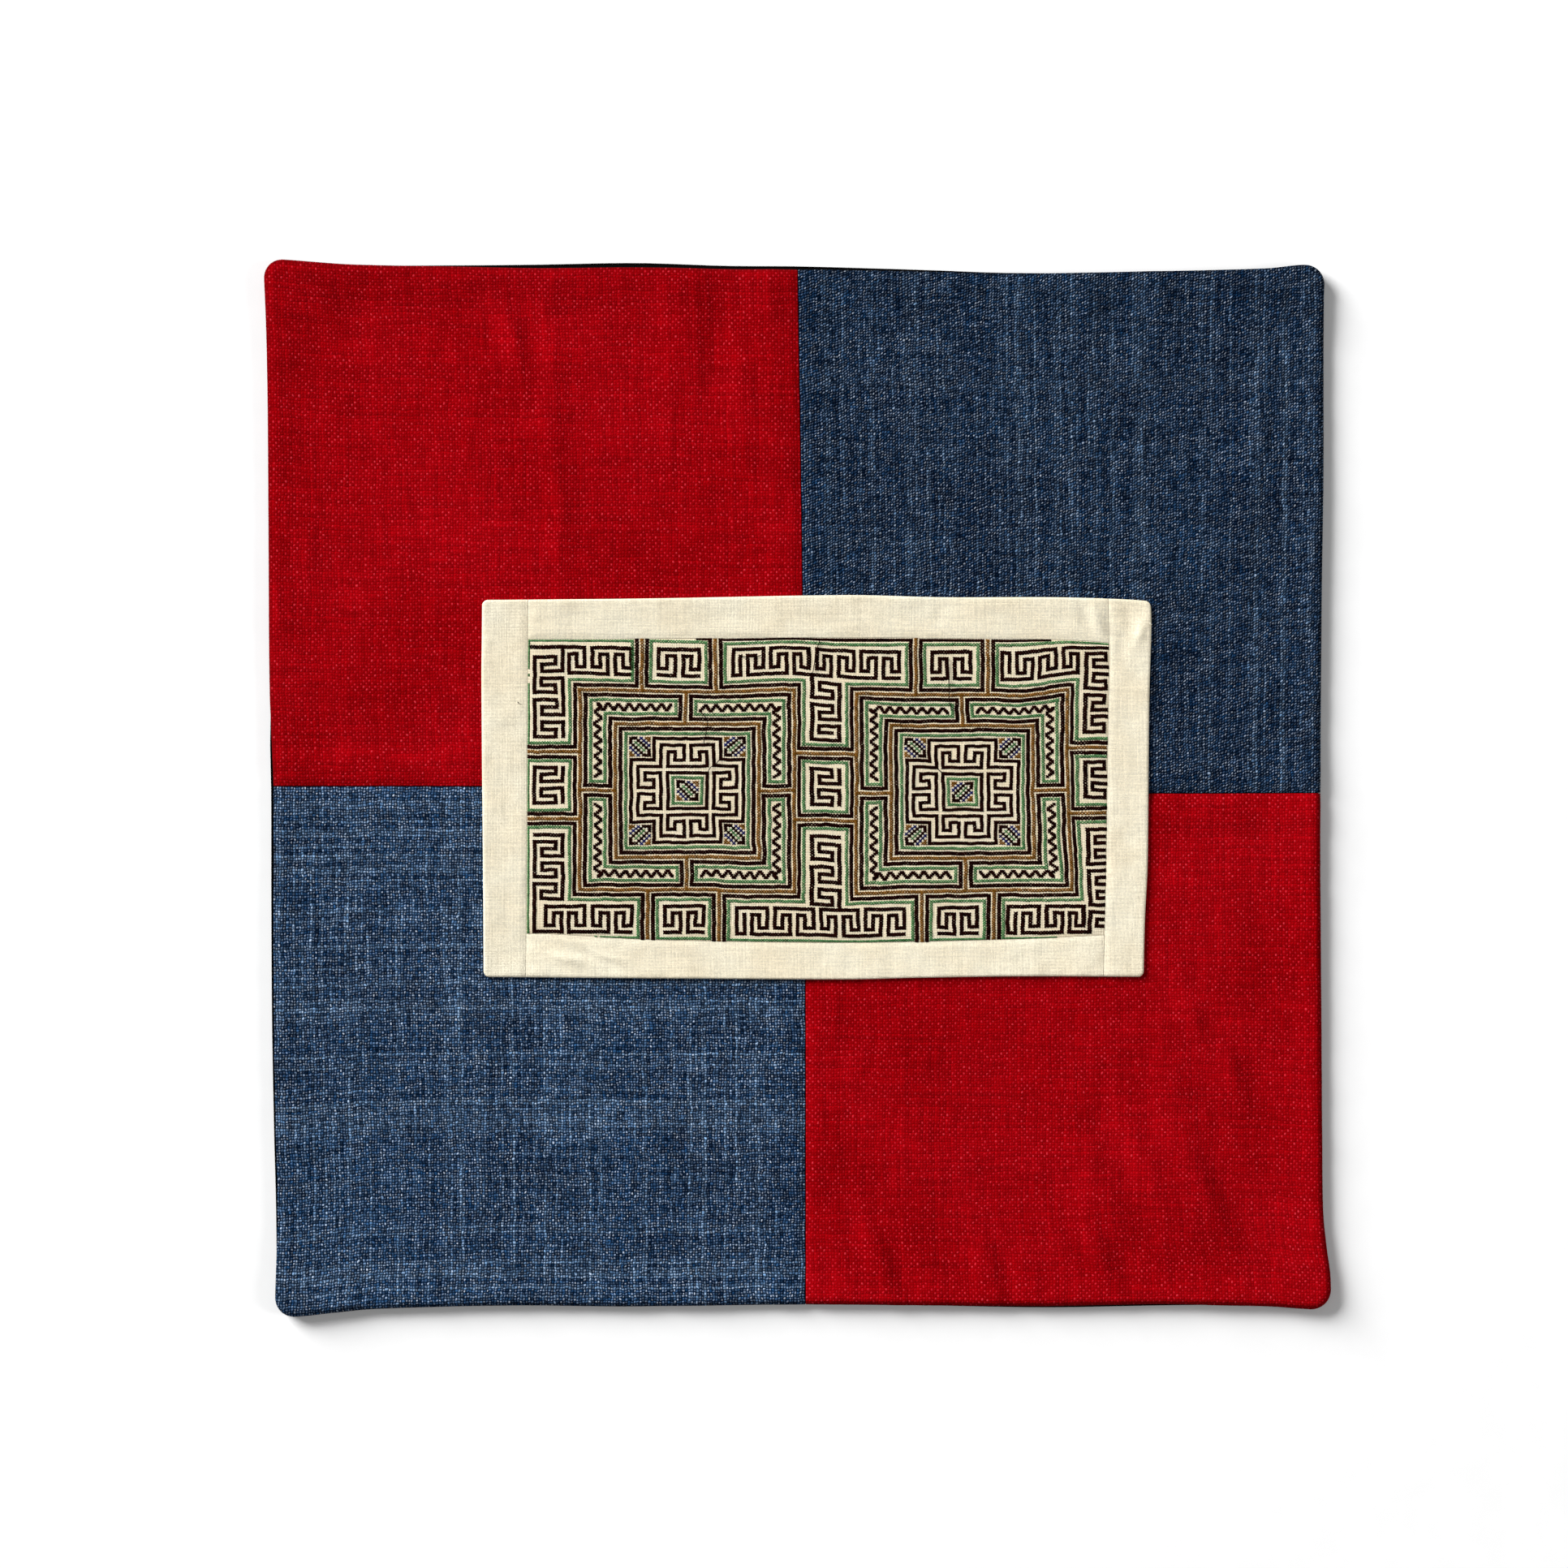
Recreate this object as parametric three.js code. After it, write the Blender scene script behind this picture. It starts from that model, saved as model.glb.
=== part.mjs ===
// Embroidered cushion cover, empty, lying flat on its back with its face up.
// Millimetres. +Z is up, +Y runs to the cover's top edge, +X to its right edge.
// The origin is on the floor under the middle of the cover.
//
// Four patches of coarse cloth make the front, one plain panel makes the back, and a
// framed embroidered panel is sewn onto the middle of the front. Every piece is a thin
// sheet between a lower and an upper height, on a grid that follows the piece's outline.

import * as THREE from 'three';

// Driving sizes of the cover.
const COVER_HALF_X = 225.5;
const COVER_HALF_Y = 223.4;
const COVER_CORNER_RADIUS = 9;

// Driving sizes of the framed panel on the front.
const FRAME_HALF_X = 140.5;
const FRAME_HALF_Y = 80;
const FRAME_CORNER_RADIUS = 2.4;
const PANEL_HALF_X = 122.5;
const PANEL_HALF_Y = 63.5;

// Thicknesses and rest heights of the layers.
const BACK_THICKNESS = 1.2;
const PATCH_THICKNESS = 1.2;
const APPLIQUE_THICKNESS = 1;
const PIECE_GAP = 0.3;
const FRONT_LIE = 3.5;
const FRONT_LIE_LEAST = 2.85;
const APPLIQUE_GAP = 0.42;

// The rim, where the seam allowances of front and back are turned in.
const RIM_RISE = 1.7;
const RIM_REACH = 13;
const RIM_ROLL = 2.3;
const RIM_ROLL_WIDTH = 4;
const ALLOWANCE_WIDTH = 12;
const BACK_ROLL = 1.1;
const BACK_ROLL_WIDTH = 3;
const BACK_RIM_RISE = 0.9;
const FRONT_OVERHANG = 1.1;
const CORNER_PUFF = 1.6;
const CORNER_PUFF_REACH = 20;

// Grooves along the seams, and the rise over the turned-under edge of the frame.
const SEAM_DEPTH = 0.7;
const SEAM_WIDTH = 2.2;
const STRIP_SEAM_DEPTH = 0.3;
const STRIP_SEAM_WIDTH = 1.5;
const TURNED_EDGE_RISE = 0.4;
const TURNED_EDGE_REACH = 7;
const TURNED_EDGE_ROLL = 0.7;
const TURNED_EDGE_ROLL_WIDTH = 1.2;

// Edges of the front, as the cover lies: out is the front's edge, and back is how far
// the back panel shows past it, or lies tucked under it where it is negative.
const TOP_EDGE = [
  { at: -225, out: 224.0, back: -0.7 },
  { at: -207, out: 222.6, back: -0.6 },
  { at: -188, out: 221.4, back: -0.3 },
  { at: -145, out: 220.5, back: 0.6 },
  { at: -110, out: 219.8, back: 1.6 },
  { at: -67, out: 220.2, back: 1.9 },
  { at: -29, out: 219.4, back: 1.5 },
  { at: 0, out: 219.2, back: 1.5 },
  { at: 28, out: 218.9, back: 1.1 },
  { at: 60, out: 218.2, back: 0.8 },
  { at: 92, out: 217.5, back: 0.4 },
  { at: 150, out: 218.5, back: -0.4 },
  { at: 201, out: 219.7, back: -0.6 },
  { at: 214, out: 221.0, back: -0.7 },
  { at: 225, out: 221.3, back: -0.7 },
];
const BOTTOM_EDGE = [
  { at: -225, out: 224.0, back: -0.7 },
  { at: -212, out: 223.1, back: -0.6 },
  { at: -202, out: 222.0, back: -0.6 },
  { at: -182, out: 220.2, back: -0.6 },
  { at: -124, out: 218.8, back: -0.6 },
  { at: -77, out: 219.2, back: -0.6 },
  { at: 0, out: 218.4, back: -0.3 },
  { at: 56, out: 218.8, back: 0.1 },
  { at: 104, out: 219.0, back: 0.7 },
  { at: 152, out: 218.2, back: 0.7 },
  { at: 180, out: 218.8, back: -0.2 },
  { at: 200, out: 219.2, back: -0.6 },
  { at: 216, out: 220.3, back: -0.6 },
  { at: 225, out: 220.6, back: -0.7 },
];
const LEFT_EDGE = [
  { at: -223, out: 221.0, back: -0.6 },
  { at: -213, out: 220.7, back: -0.4 },
  { at: -178, out: 219.9, back: 0.7 },
  { at: -147, out: 220.6, back: 0.8 },
  { at: -100, out: 221.4, back: 0.9 },
  { at: -52, out: 221.6, back: 1.0 },
  { at: 0, out: 221.6, back: 1.1 },
  { at: 17, out: 222.2, back: 0.9 },
  { at: 40, out: 223.2, back: -0.4 },
  { at: 108, out: 223.7, back: -0.6 },
  { at: 166, out: 224.1, back: -0.6 },
  { at: 200, out: 224.8, back: -0.6 },
  { at: 223, out: 225.8, back: -0.7 },
];
const RIGHT_EDGE = [
  { at: -220, out: 225.5, back: -0.7 },
  { at: -208, out: 225.2, back: -0.6 },
  { at: -197, out: 223.8, back: -0.6 },
  { at: -181, out: 222.3, back: -0.6 },
  { at: -149, out: 221.9, back: -0.6 },
  { at: -101, out: 221.6, back: -0.6 },
  { at: -37, out: 221.1, back: -0.6 },
  { at: 0, out: 221.1, back: -0.6 },
  { at: 86, out: 221.7, back: -0.6 },
  { at: 135, out: 222.4, back: -0.6 },
  { at: 209, out: 222.5, back: -0.6 },
  { at: 221, out: 223.0, back: -0.7 },
];

// The two patchwork seams, which cross under the framed panel.
const VERTICAL_SEAM = [
  { at: -219, out: 3.4 },
  { at: -81, out: 3.3 },
  { at: 81, out: 2.2 },
  { at: 219, out: 0.2 },
];
const HORIZONTAL_SEAM = [
  { at: -222, out: 0.7 },
  { at: -133, out: 0.6 },
  { at: 148, out: -2.2 },
  { at: 221, out: -2.1 },
];

// Outer edges of the frame, the seams beside its side strips, and the panel's own edges.
const FRAME_TOP = [
  { at: -133, out: 79.5 },
  { at: -72, out: 80.1 },
  { at: 13, out: 81.5 },
  { at: 54, out: 80.6 },
  { at: 98, out: 80.6 },
  { at: 130, out: 79.7 },
  { at: 148, out: 78.2 },
];
const FRAME_BOTTOM = [
  { at: -133, out: -79.9 },
  { at: -62, out: -80.5 },
  { at: 13, out: -80.9 },
  { at: 43, out: -80.2 },
  { at: 87, out: -79.6 },
  { at: 147, out: -79.8 },
];
const FRAME_LEFT = [
  { at: -80, out: -132.6 },
  { at: -44, out: -132.8 },
  { at: 42, out: -133.5 },
  { at: 80, out: -133.2 },
];
const FRAME_RIGHT = [
  { at: -80, out: 146.2 },
  { at: -56, out: 146.8 },
  { at: -34, out: 147.9 },
  { at: 0, out: 148.3 },
  { at: 42, out: 148.7 },
  { at: 70, out: 149.5 },
  { at: 80, out: 149.3 },
];
const LEFT_STRIP_SEAM = [
  { at: -80, out: -114.7 },
  { at: 80, out: -113.8 },
];
const RIGHT_STRIP_SEAM = [
  { at: -80, out: 129.3 },
  { at: -34, out: 130.4 },
  { at: 10, out: 131.0 },
  { at: 60, out: 131.8 },
  { at: 80, out: 131.3 },
];
const PANEL_TOP = [
  { at: -114, out: 62.9 },
  { at: -66, out: 63.1 },
  { at: 13, out: 63.5 },
  { at: 81, out: 62.9 },
  { at: 109, out: 62.3 },
  { at: 132, out: 60.4 },
];
const PANEL_BOTTOM = [
  { at: -115, out: -61.6 },
  { at: -94, out: -62.8 },
  { at: -66, out: -64.3 },
  { at: 13, out: -65.4 },
  { at: 81, out: -64.0 },
  { at: 130, out: -61.9 },
];

// Soft folds of the front: ridges where high is positive, troughs where it is negative.
// turn is the fold's direction in degrees from +X, long and wide are its reach.
const FOLDS = [
  { x: -185, y: 196, turn: 95, long: 18, wide: 9, high: -0.55 },
  { x: -114, y: 196, turn: 118, long: 12, wide: 5, high: -0.5 },
  { x: -106, y: 158, turn: 90, long: 34, wide: 9, high: 0.5 },
  { x: -65, y: 196, turn: 92, long: 24, wide: 8, high: -0.6 },
  { x: -47, y: 192, turn: 90, long: 30, wide: 10, high: 0.9 },
  { x: -28, y: 186, turn: 86, long: 20, wide: 7, high: -0.65 },
  { x: -14, y: 201, turn: 94, long: 24, wide: 7, high: 0.6 },
  { x: 13, y: 168, turn: 91, long: 38, wide: 9, high: -0.5 },
  { x: 125, y: 200, turn: 90, long: 20, wide: 7, high: 0.8 },
  { x: 136, y: 198, turn: 96, long: 17, wide: 5, high: -0.6 },
  { x: 157, y: 199, turn: 104, long: 20, wide: 7, high: 0.7 },
  { x: 168, y: 203, turn: 106, long: 18, wide: 6, high: -0.6 },
  { x: 186, y: 110, turn: 80, long: 40, wide: 12, high: 0.7 },
  { x: 178, y: -101, turn: 122, long: 24, wide: 8, high: -0.6 },
  { x: 190, y: -92, turn: 118, long: 26, wide: 9, high: 0.8 },
  { x: 176, y: -158, turn: 108, long: 30, wide: 8, high: -0.6 },
  { x: 162, y: -172, turn: 116, long: 32, wide: 11, high: 1.3 },
  { x: 41, y: -201, turn: 116, long: 18, wide: 5, high: -0.6 },
  { x: 50, y: -198, turn: 112, long: 20, wide: 6, high: 0.9 },
  { x: 89, y: -206, turn: 106, long: 12, wide: 5, high: -0.6 },
  { x: 97, y: -203, turn: 104, long: 14, wide: 6, high: 0.7 },
  { x: 140, y: -200, turn: 112, long: 16, wide: 6, high: -0.6 },
  { x: 161, y: -207, turn: 100, long: 11, wide: 6, high: -0.5 },
  { x: -150, y: -196, turn: 70, long: 26, wide: 10, high: 0.5 },
  { x: -196, y: -130, turn: 84, long: 34, wide: 11, high: 0.5 },
];

// Long, low swells of the cloth as a whole: across and up are waves per metre.
const SWELLS = [
  { across: 9.5, up: 1.6, start: 0.6, high: 0.16 },
  { across: 3.2, up: -6.8, start: 2.1, high: 0.14 },
  { across: 14.0, up: 4.3, start: 4.4, high: 0.08 },
];

// Grid steps, measured inward from a rim, outward from a seam, and over open cloth.
const RIM_STEPS = [0, 0.8, 2, 4, 8, 14, 22];
const SEAM_STEPS = [2.5, 7];
const PATCH_STEP = 16;
const BACK_STEP = 34;
const TURNED_STEPS = [0, 0.8, 2.4, 7];
const APPLIQUE_STEP = 13;

const RED = 0xa80512;
const BLUE = 0x2f4a6c;
const BLACK = 0x14120f;
const CREAM = 0xf0e6cd;
const GROUND = 0xc9b795;

// Smooth value of a table at a place along it, by a cubic between the two nearest rows.
function valueAt(table, at, column) {
  const last = table.length - 1;
  const place = THREE.MathUtils.clamp(at, table[0].at, table[last].at);
  let i = 0;
  while (i < last - 1 && table[i + 1].at < place) i += 1;
  const slope = (k) => {
    const a = table[Math.max(k - 1, 0)];
    const b = table[Math.min(k + 1, last)];
    return (b[column] - a[column]) / (b.at - a.at);
  };
  const span = table[i + 1].at - table[i].at;
  const t = (place - table[i].at) / span;
  const fromStart = 2 * t ** 3 - 3 * t ** 2 + 1;
  const startSlope = t ** 3 - 2 * t ** 2 + t;
  const endSlope = t ** 3 - t ** 2;
  return fromStart * table[i][column] + (1 - fromStart) * table[i + 1][column]
    + span * (startSlope * slope(i) + endSlope * slope(i + 1));
}

// A line of the layout: where it lies on the flat plan, and where it lies for real.
function line(plan, table, side = 1) {
  return { plan, real: (along) => side * valueAt(table, along, 'out') };
}

// An edge of the back panel, which lies beside the front's edge.
function backLine(plan, table, side) {
  const real = (along) => side * (valueAt(table, along, 'out') + valueAt(table, along, 'back'));
  return { plan, real };
}

// Real place of a plan value between the two lines that it lies between.
function between(lines, plan, along) {
  let i = 0;
  while (i < lines.length - 2 && lines[i + 1].plan < plan) i += 1;
  const t = (plan - lines[i].plan) / (lines[i + 1].plan - lines[i].plan);
  return THREE.MathUtils.lerp(lines[i].real(along), lines[i + 1].real(along), t);
}

// A layout takes plan points to real points. Its four corners are rounded, and each
// point carries its distance in from the rim and from the nearest corner.
function layout(halfX, halfY, radius, xLines, yLines) {
  return (planX, planY) => {
    const inX = halfX - radius;
    const inY = halfY - radius;
    const overX = Math.max(Math.abs(planX) - inX, 0) / radius;
    const overY = Math.max(Math.abs(planY) - inY, 0) / radius;
    let u = planX;
    let v = planY;
    if (overX > 0 && overY > 0) {
      u = Math.sign(planX) * (inX + radius * overX * Math.sqrt(1 - overY ** 2 / 2));
      v = Math.sign(planY) * (inY + radius * overY * Math.sqrt(1 - overX ** 2 / 2));
    }
    const cornerX = Math.max(Math.abs(u) - inX, 0);
    const cornerY = Math.max(Math.abs(v) - inY, 0);
    const inside = Math.min(halfX - Math.abs(u), halfY - Math.abs(v));
    const rim = cornerX > 0 && cornerY > 0 ? radius - Math.hypot(cornerX, cornerY) : inside;
    return {
      u,
      v,
      x: between(xLines, u, v),
      y: between(yLines, v, u),
      rim: Math.max(rim, 0),
      corner: Math.hypot(inX - Math.abs(u), inY - Math.abs(v)),
    };
  };
}

const frontLayout = layout(COVER_HALF_X, COVER_HALF_Y, COVER_CORNER_RADIUS, [
  line(-COVER_HALF_X, LEFT_EDGE, -1),
  line(0, VERTICAL_SEAM),
  line(COVER_HALF_X, RIGHT_EDGE),
], [
  line(-COVER_HALF_Y, BOTTOM_EDGE, -1),
  line(0, HORIZONTAL_SEAM),
  line(COVER_HALF_Y, TOP_EDGE),
]);

const backLayout = layout(COVER_HALF_X, COVER_HALF_Y, COVER_CORNER_RADIUS, [
  backLine(-COVER_HALF_X, LEFT_EDGE, -1),
  backLine(COVER_HALF_X, RIGHT_EDGE, 1),
], [
  backLine(-COVER_HALF_Y, BOTTOM_EDGE, -1),
  backLine(COVER_HALF_Y, TOP_EDGE, 1),
]);

const appliqueLayout = layout(FRAME_HALF_X, FRAME_HALF_Y, FRAME_CORNER_RADIUS, [
  line(-FRAME_HALF_X, FRAME_LEFT),
  line(-PANEL_HALF_X, LEFT_STRIP_SEAM),
  line(PANEL_HALF_X, RIGHT_STRIP_SEAM),
  line(FRAME_HALF_X, FRAME_RIGHT),
], [
  line(-FRAME_HALF_Y, FRAME_BOTTOM),
  line(-PANEL_HALF_Y, PANEL_BOTTOM),
  line(PANEL_HALF_Y, PANEL_TOP),
  line(FRAME_HALF_Y, FRAME_TOP),
]);

function bell(distance, reach) {
  return Math.exp(-((distance / reach) ** 2));
}

// One where a rounded edge is lowest, at its rim, falling to nought at its width.
function roundOff(rim, width) {
  const t = Math.max(1 - rim / width, 0);
  return 1 - Math.sqrt(1 - t * t);
}

function foldHeight(fold, x, y) {
  const turn = THREE.MathUtils.degToRad(fold.turn);
  const along = (x - fold.x) * Math.cos(turn) + (y - fold.y) * Math.sin(turn);
  const across = (y - fold.y) * Math.cos(turn) - (x - fold.x) * Math.sin(turn);
  return fold.high * bell(along, fold.long) * bell(across, fold.wide);
}

function swellHeight(swell, x, y) {
  const waves = (swell.across * x + swell.up * y) / 1000;
  return swell.high * Math.sin(2 * Math.PI * waves + swell.start);
}

// Height of the open front cloth, before its rim and seams.
function frontLie(x, y) {
  let height = FRONT_LIE;
  for (const fold of FOLDS) height += foldHeight(fold, x, y);
  for (const swell of SWELLS) height += swellHeight(swell, x, y);
  return Math.max(height, FRONT_LIE_LEAST);
}

function patchUpper(p) {
  const seam = Math.min(Math.abs(p.u), Math.abs(p.v));
  return frontLie(p.x, p.y)
    + RIM_RISE * bell(p.rim, RIM_REACH)
    + CORNER_PUFF * bell(p.corner, CORNER_PUFF_REACH)
    - RIM_ROLL * roundOff(p.rim, RIM_ROLL_WIDTH)
    - SEAM_DEPTH * bell(seam, SEAM_WIDTH);
}

// Under the rim the turned-in allowance fills the sheet down to the back panel.
function patchLower(p) {
  const seated = BACK_THICKNESS + PIECE_GAP
    + BACK_RIM_RISE * roundOff(Math.max(p.rim - FRONT_OVERHANG, 0), BACK_ROLL_WIDTH);
  const open = frontLie(p.x, p.y) - PATCH_THICKNESS;
  const t = THREE.MathUtils.smoothstep(p.rim, ALLOWANCE_WIDTH - 4, ALLOWANCE_WIDTH + 2);
  return THREE.MathUtils.lerp(seated, open, t);
}

function backUpper(p) {
  return BACK_THICKNESS + BACK_RIM_RISE * roundOff(p.rim, BACK_ROLL_WIDTH);
}

function backLower(p) {
  return BACK_ROLL * roundOff(p.rim, BACK_ROLL_WIDTH);
}

function appliqueLower(p) {
  return frontLie(p.x, p.y) + APPLIQUE_GAP;
}

function appliqueUpper(p) {
  const sideSeam = Math.abs(Math.abs(p.u) - PANEL_HALF_X);
  const crossSeam = Math.abs(p.u) < PANEL_HALF_X ? Math.abs(Math.abs(p.v) - PANEL_HALF_Y) : sideSeam;
  return appliqueLower(p) + APPLIQUE_THICKNESS
    + TURNED_EDGE_RISE * bell(p.rim, TURNED_EDGE_REACH)
    - TURNED_EDGE_ROLL * roundOff(p.rim, TURNED_EDGE_ROLL_WIDTH)
    - STRIP_SEAM_DEPTH * bell(Math.min(sideSeam, crossSeam), STRIP_SEAM_WIDTH);
}

// Even steps between two plan values, both included.
function evenly(from, to, step) {
  const count = Math.max(Math.round(Math.abs(to - from) / step), 1);
  return Array.from({ length: count + 1 }, (_, i) => from + ((to - from) * i) / count);
}

function sorted(values) {
  return [...new Set(values)].sort((a, b) => a - b);
}

// Grid lines of half the front: from its rim at half to half a gap from the seam.
function halfGrid(half, side) {
  const nearRim = RIM_STEPS.map((step) => half - step);
  const nearSeam = SEAM_STEPS.map((step) => step + PIECE_GAP / 2);
  const open = evenly(nearSeam[nearSeam.length - 1], nearRim[nearRim.length - 1], PATCH_STEP);
  return sorted([PIECE_GAP / 2, ...nearSeam, ...open, ...nearRim].map((value) => side * value));
}

function backGrid(half) {
  const nearRim = RIM_STEPS.map((step) => half - step);
  const inner = nearRim[nearRim.length - 1];
  return sorted([...nearRim, ...nearRim.map((value) => -value), ...evenly(-inner, inner, BACK_STEP)]);
}

// Grid lines of one strip or of the panel between two plan values. A rim end gets the
// steps of a turned edge, and a seam end stops half a gap short.
function stripGrid(from, to, rimAtStart, rimAtEnd) {
  const start = rimAtStart ? TURNED_STEPS.map((step) => from + step) : [from + PIECE_GAP / 2];
  const end = rimAtEnd ? TURNED_STEPS.map((step) => to - step) : [to - PIECE_GAP / 2];
  return sorted([...start, ...end, ...evenly(start[start.length - 1], end[end.length - 1], APPLIQUE_STEP)]);
}

// A closed sheet on a grid of plan lines, between its lower and its upper height.
function sheet(name, color, layoutPoint, xGrid, yGrid, lower, upper) {
  const positions = [];
  const index = [];
  const columns = xGrid.length;
  const layer = columns * yGrid.length;
  for (const height of [upper, lower]) {
    for (const planY of yGrid) {
      for (const planX of xGrid) {
        const p = layoutPoint(planX, planY);
        positions.push(p.x, p.y, height(p));
      }
    }
  }
  const quad = (a, b, c, d) => index.push(a, b, c, a, c, d);
  for (let j = 0; j < yGrid.length - 1; j += 1) {
    for (let i = 0; i < columns - 1; i += 1) {
      const a = j * columns + i;
      quad(a, a + 1, a + columns + 1, a + columns);
      quad(layer + a, layer + a + columns, layer + a + columns + 1, layer + a + 1);
    }
  }
  const wall = (a, b) => quad(layer + a, layer + b, b, a);
  for (let i = 0; i < columns - 1; i += 1) {
    const far = layer - columns + i;
    wall(i, i + 1);
    wall(far + 1, far);
  }
  for (let j = 0; j < yGrid.length - 1; j += 1) {
    const near = j * columns;
    wall(near + columns, near);
    wall(near + columns - 1, near + 2 * columns - 1);
  }
  const geometry = new THREE.BufferGeometry();
  geometry.setAttribute('position', new THREE.Float32BufferAttribute(positions, 3));
  geometry.setIndex(index);
  geometry.computeVertexNormals();
  const mesh = new THREE.Mesh(geometry, new THREE.MeshStandardMaterial({ color, roughness: 0.95, metalness: 0 }));
  mesh.name = name;
  return mesh;
}

function patch(name, color, sideX, sideY) {
  const xGrid = halfGrid(COVER_HALF_X, sideX);
  const yGrid = halfGrid(COVER_HALF_Y, sideY);
  return sheet(name, color, frontLayout, xGrid, yGrid, patchLower, patchUpper);
}

function backPanel() {
  const xGrid = backGrid(COVER_HALF_X);
  const yGrid = backGrid(COVER_HALF_Y);
  return sheet('back_panel', BLACK, backLayout, xGrid, yGrid, backLower, backUpper);
}

function applique(name, color, xGrid, yGrid) {
  return sheet(name, color, appliqueLayout, xGrid, yGrid, appliqueLower, appliqueUpper);
}

function framedPanel() {
  const fullHeight = stripGrid(-FRAME_HALF_Y, FRAME_HALF_Y, true, true);
  const middle = stripGrid(-PANEL_HALF_X, PANEL_HALF_X, false, false);
  return [
    applique('frame_strip_left', CREAM, stripGrid(-FRAME_HALF_X, -PANEL_HALF_X, true, false), fullHeight),
    applique('frame_strip_right', CREAM, stripGrid(PANEL_HALF_X, FRAME_HALF_X, false, true), fullHeight),
    applique('frame_strip_bottom', CREAM, middle, stripGrid(-FRAME_HALF_Y, -PANEL_HALF_Y, true, false)),
    applique('frame_strip_top', CREAM, middle, stripGrid(PANEL_HALF_Y, FRAME_HALF_Y, false, true)),
    applique('embroidered_panel', GROUND, middle, stripGrid(-PANEL_HALF_Y, PANEL_HALF_Y, false, false)),
  ];
}

const cover = new THREE.Group();
cover.name = 'cushion_cover';
cover.add(
  backPanel(),
  patch('patch_red_upper_left', RED, -1, 1),
  patch('patch_blue_upper_right', BLUE, 1, 1),
  patch('patch_blue_lower_left', BLUE, -1, -1),
  patch('patch_red_lower_right', RED, 1, -1),
  ...framedPanel(),
);

export default cover;
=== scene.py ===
"""Dresses the embroidered cushion cover: cloth sheets, counted embroidery, materials, light and camera.

Sizes in this script are millimetres until a mesh is made, which is in metres.
"""

import math

import bpy
import numpy as np
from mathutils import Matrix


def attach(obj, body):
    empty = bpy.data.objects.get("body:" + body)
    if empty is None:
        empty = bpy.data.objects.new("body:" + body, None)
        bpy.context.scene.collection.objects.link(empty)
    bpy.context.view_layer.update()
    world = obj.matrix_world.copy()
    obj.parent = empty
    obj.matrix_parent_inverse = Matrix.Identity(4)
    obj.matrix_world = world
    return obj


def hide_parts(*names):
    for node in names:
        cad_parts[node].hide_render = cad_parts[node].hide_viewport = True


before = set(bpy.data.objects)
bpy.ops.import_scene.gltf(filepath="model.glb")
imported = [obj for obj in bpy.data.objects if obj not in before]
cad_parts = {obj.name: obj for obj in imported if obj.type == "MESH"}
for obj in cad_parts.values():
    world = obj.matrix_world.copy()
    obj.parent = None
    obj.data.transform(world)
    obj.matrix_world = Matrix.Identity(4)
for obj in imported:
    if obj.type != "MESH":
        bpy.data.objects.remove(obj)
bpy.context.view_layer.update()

MM = 0.001

# Sizes shared with the solids.
COVER_HALF_X = 225.5
COVER_HALF_Y = 223.4
COVER_CORNER_RADIUS = 9
FRAME_HALF_X = 140.5
FRAME_HALF_Y = 80
FRAME_CORNER_RADIUS = 2.4
PANEL_HALF_X = 122.5
PANEL_HALF_Y = 63.5
BACK_THICKNESS = 1.2
PATCH_THICKNESS = 1.2
APPLIQUE_THICKNESS = 1
PIECE_GAP = 0.3
FRONT_LIE = 3.5
FRONT_LIE_LEAST = 2.85
APPLIQUE_GAP = 0.42
RIM_RISE = 1.7
RIM_REACH = 13
ALLOWANCE_WIDTH = 12
BACK_ROLL = 1.1
BACK_ROLL_WIDTH = 3
BACK_RIM_RISE = 0.9
FRONT_OVERHANG = 1.1
CORNER_PUFF = 1.6
CORNER_PUFF_REACH = 20
SEAM_DEPTH = 0.7
SEAM_WIDTH = 2.2
STRIP_SEAM_DEPTH = 0.3
STRIP_SEAM_WIDTH = 1.5
TURNED_EDGE_RISE = 0.4
TURNED_EDGE_REACH = 7
TURNED_EDGE_ROLL = 0.7
TURNED_EDGE_ROLL_WIDTH = 1.2
# The rim rolls down a little tighter than on the solids.
RIM_ROLL = 2.1
RIM_ROLL_WIDTH = 3.2

# Edges: place along the edge, how far out the front lies, how far the back shows past it.
TOP_EDGE = [
    (-225, 224.0, -0.7), (-207, 222.6, -0.6), (-188, 221.4, -0.3), (-145, 220.5, 0.6),
    (-110, 219.8, 1.6), (-67, 220.2, 1.9), (-29, 219.4, 1.5), (0, 219.2, 1.5), (28, 218.9, 1.1),
    (60, 218.2, 0.8), (92, 217.5, 0.4), (150, 218.5, -0.4), (201, 219.7, -0.6),
    (214, 221.0, -0.7), (225, 221.3, -0.7),
]
BOTTOM_EDGE = [
    (-225, 224.0, -0.7), (-212, 223.1, -0.6), (-202, 222.0, -0.6), (-182, 220.2, -0.6),
    (-124, 218.8, -0.6), (-77, 219.2, -0.6), (0, 218.4, -0.3), (56, 218.8, 0.1),
    (104, 219.0, 0.7), (152, 218.2, 0.7), (180, 218.8, -0.2), (200, 219.2, -0.6),
    (216, 220.3, -0.6), (225, 220.6, -0.7),
]
LEFT_EDGE = [
    (-223, 221.0, -0.6), (-213, 220.7, -0.4), (-178, 219.9, 0.7), (-147, 220.6, 0.8),
    (-100, 221.4, 0.9), (-52, 221.6, 1.0), (0, 221.6, 1.1), (17, 222.2, 0.9), (40, 223.2, -0.4),
    (108, 223.7, -0.6), (166, 224.1, -0.6), (200, 224.8, -0.6), (223, 225.8, -0.7),
]
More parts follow.
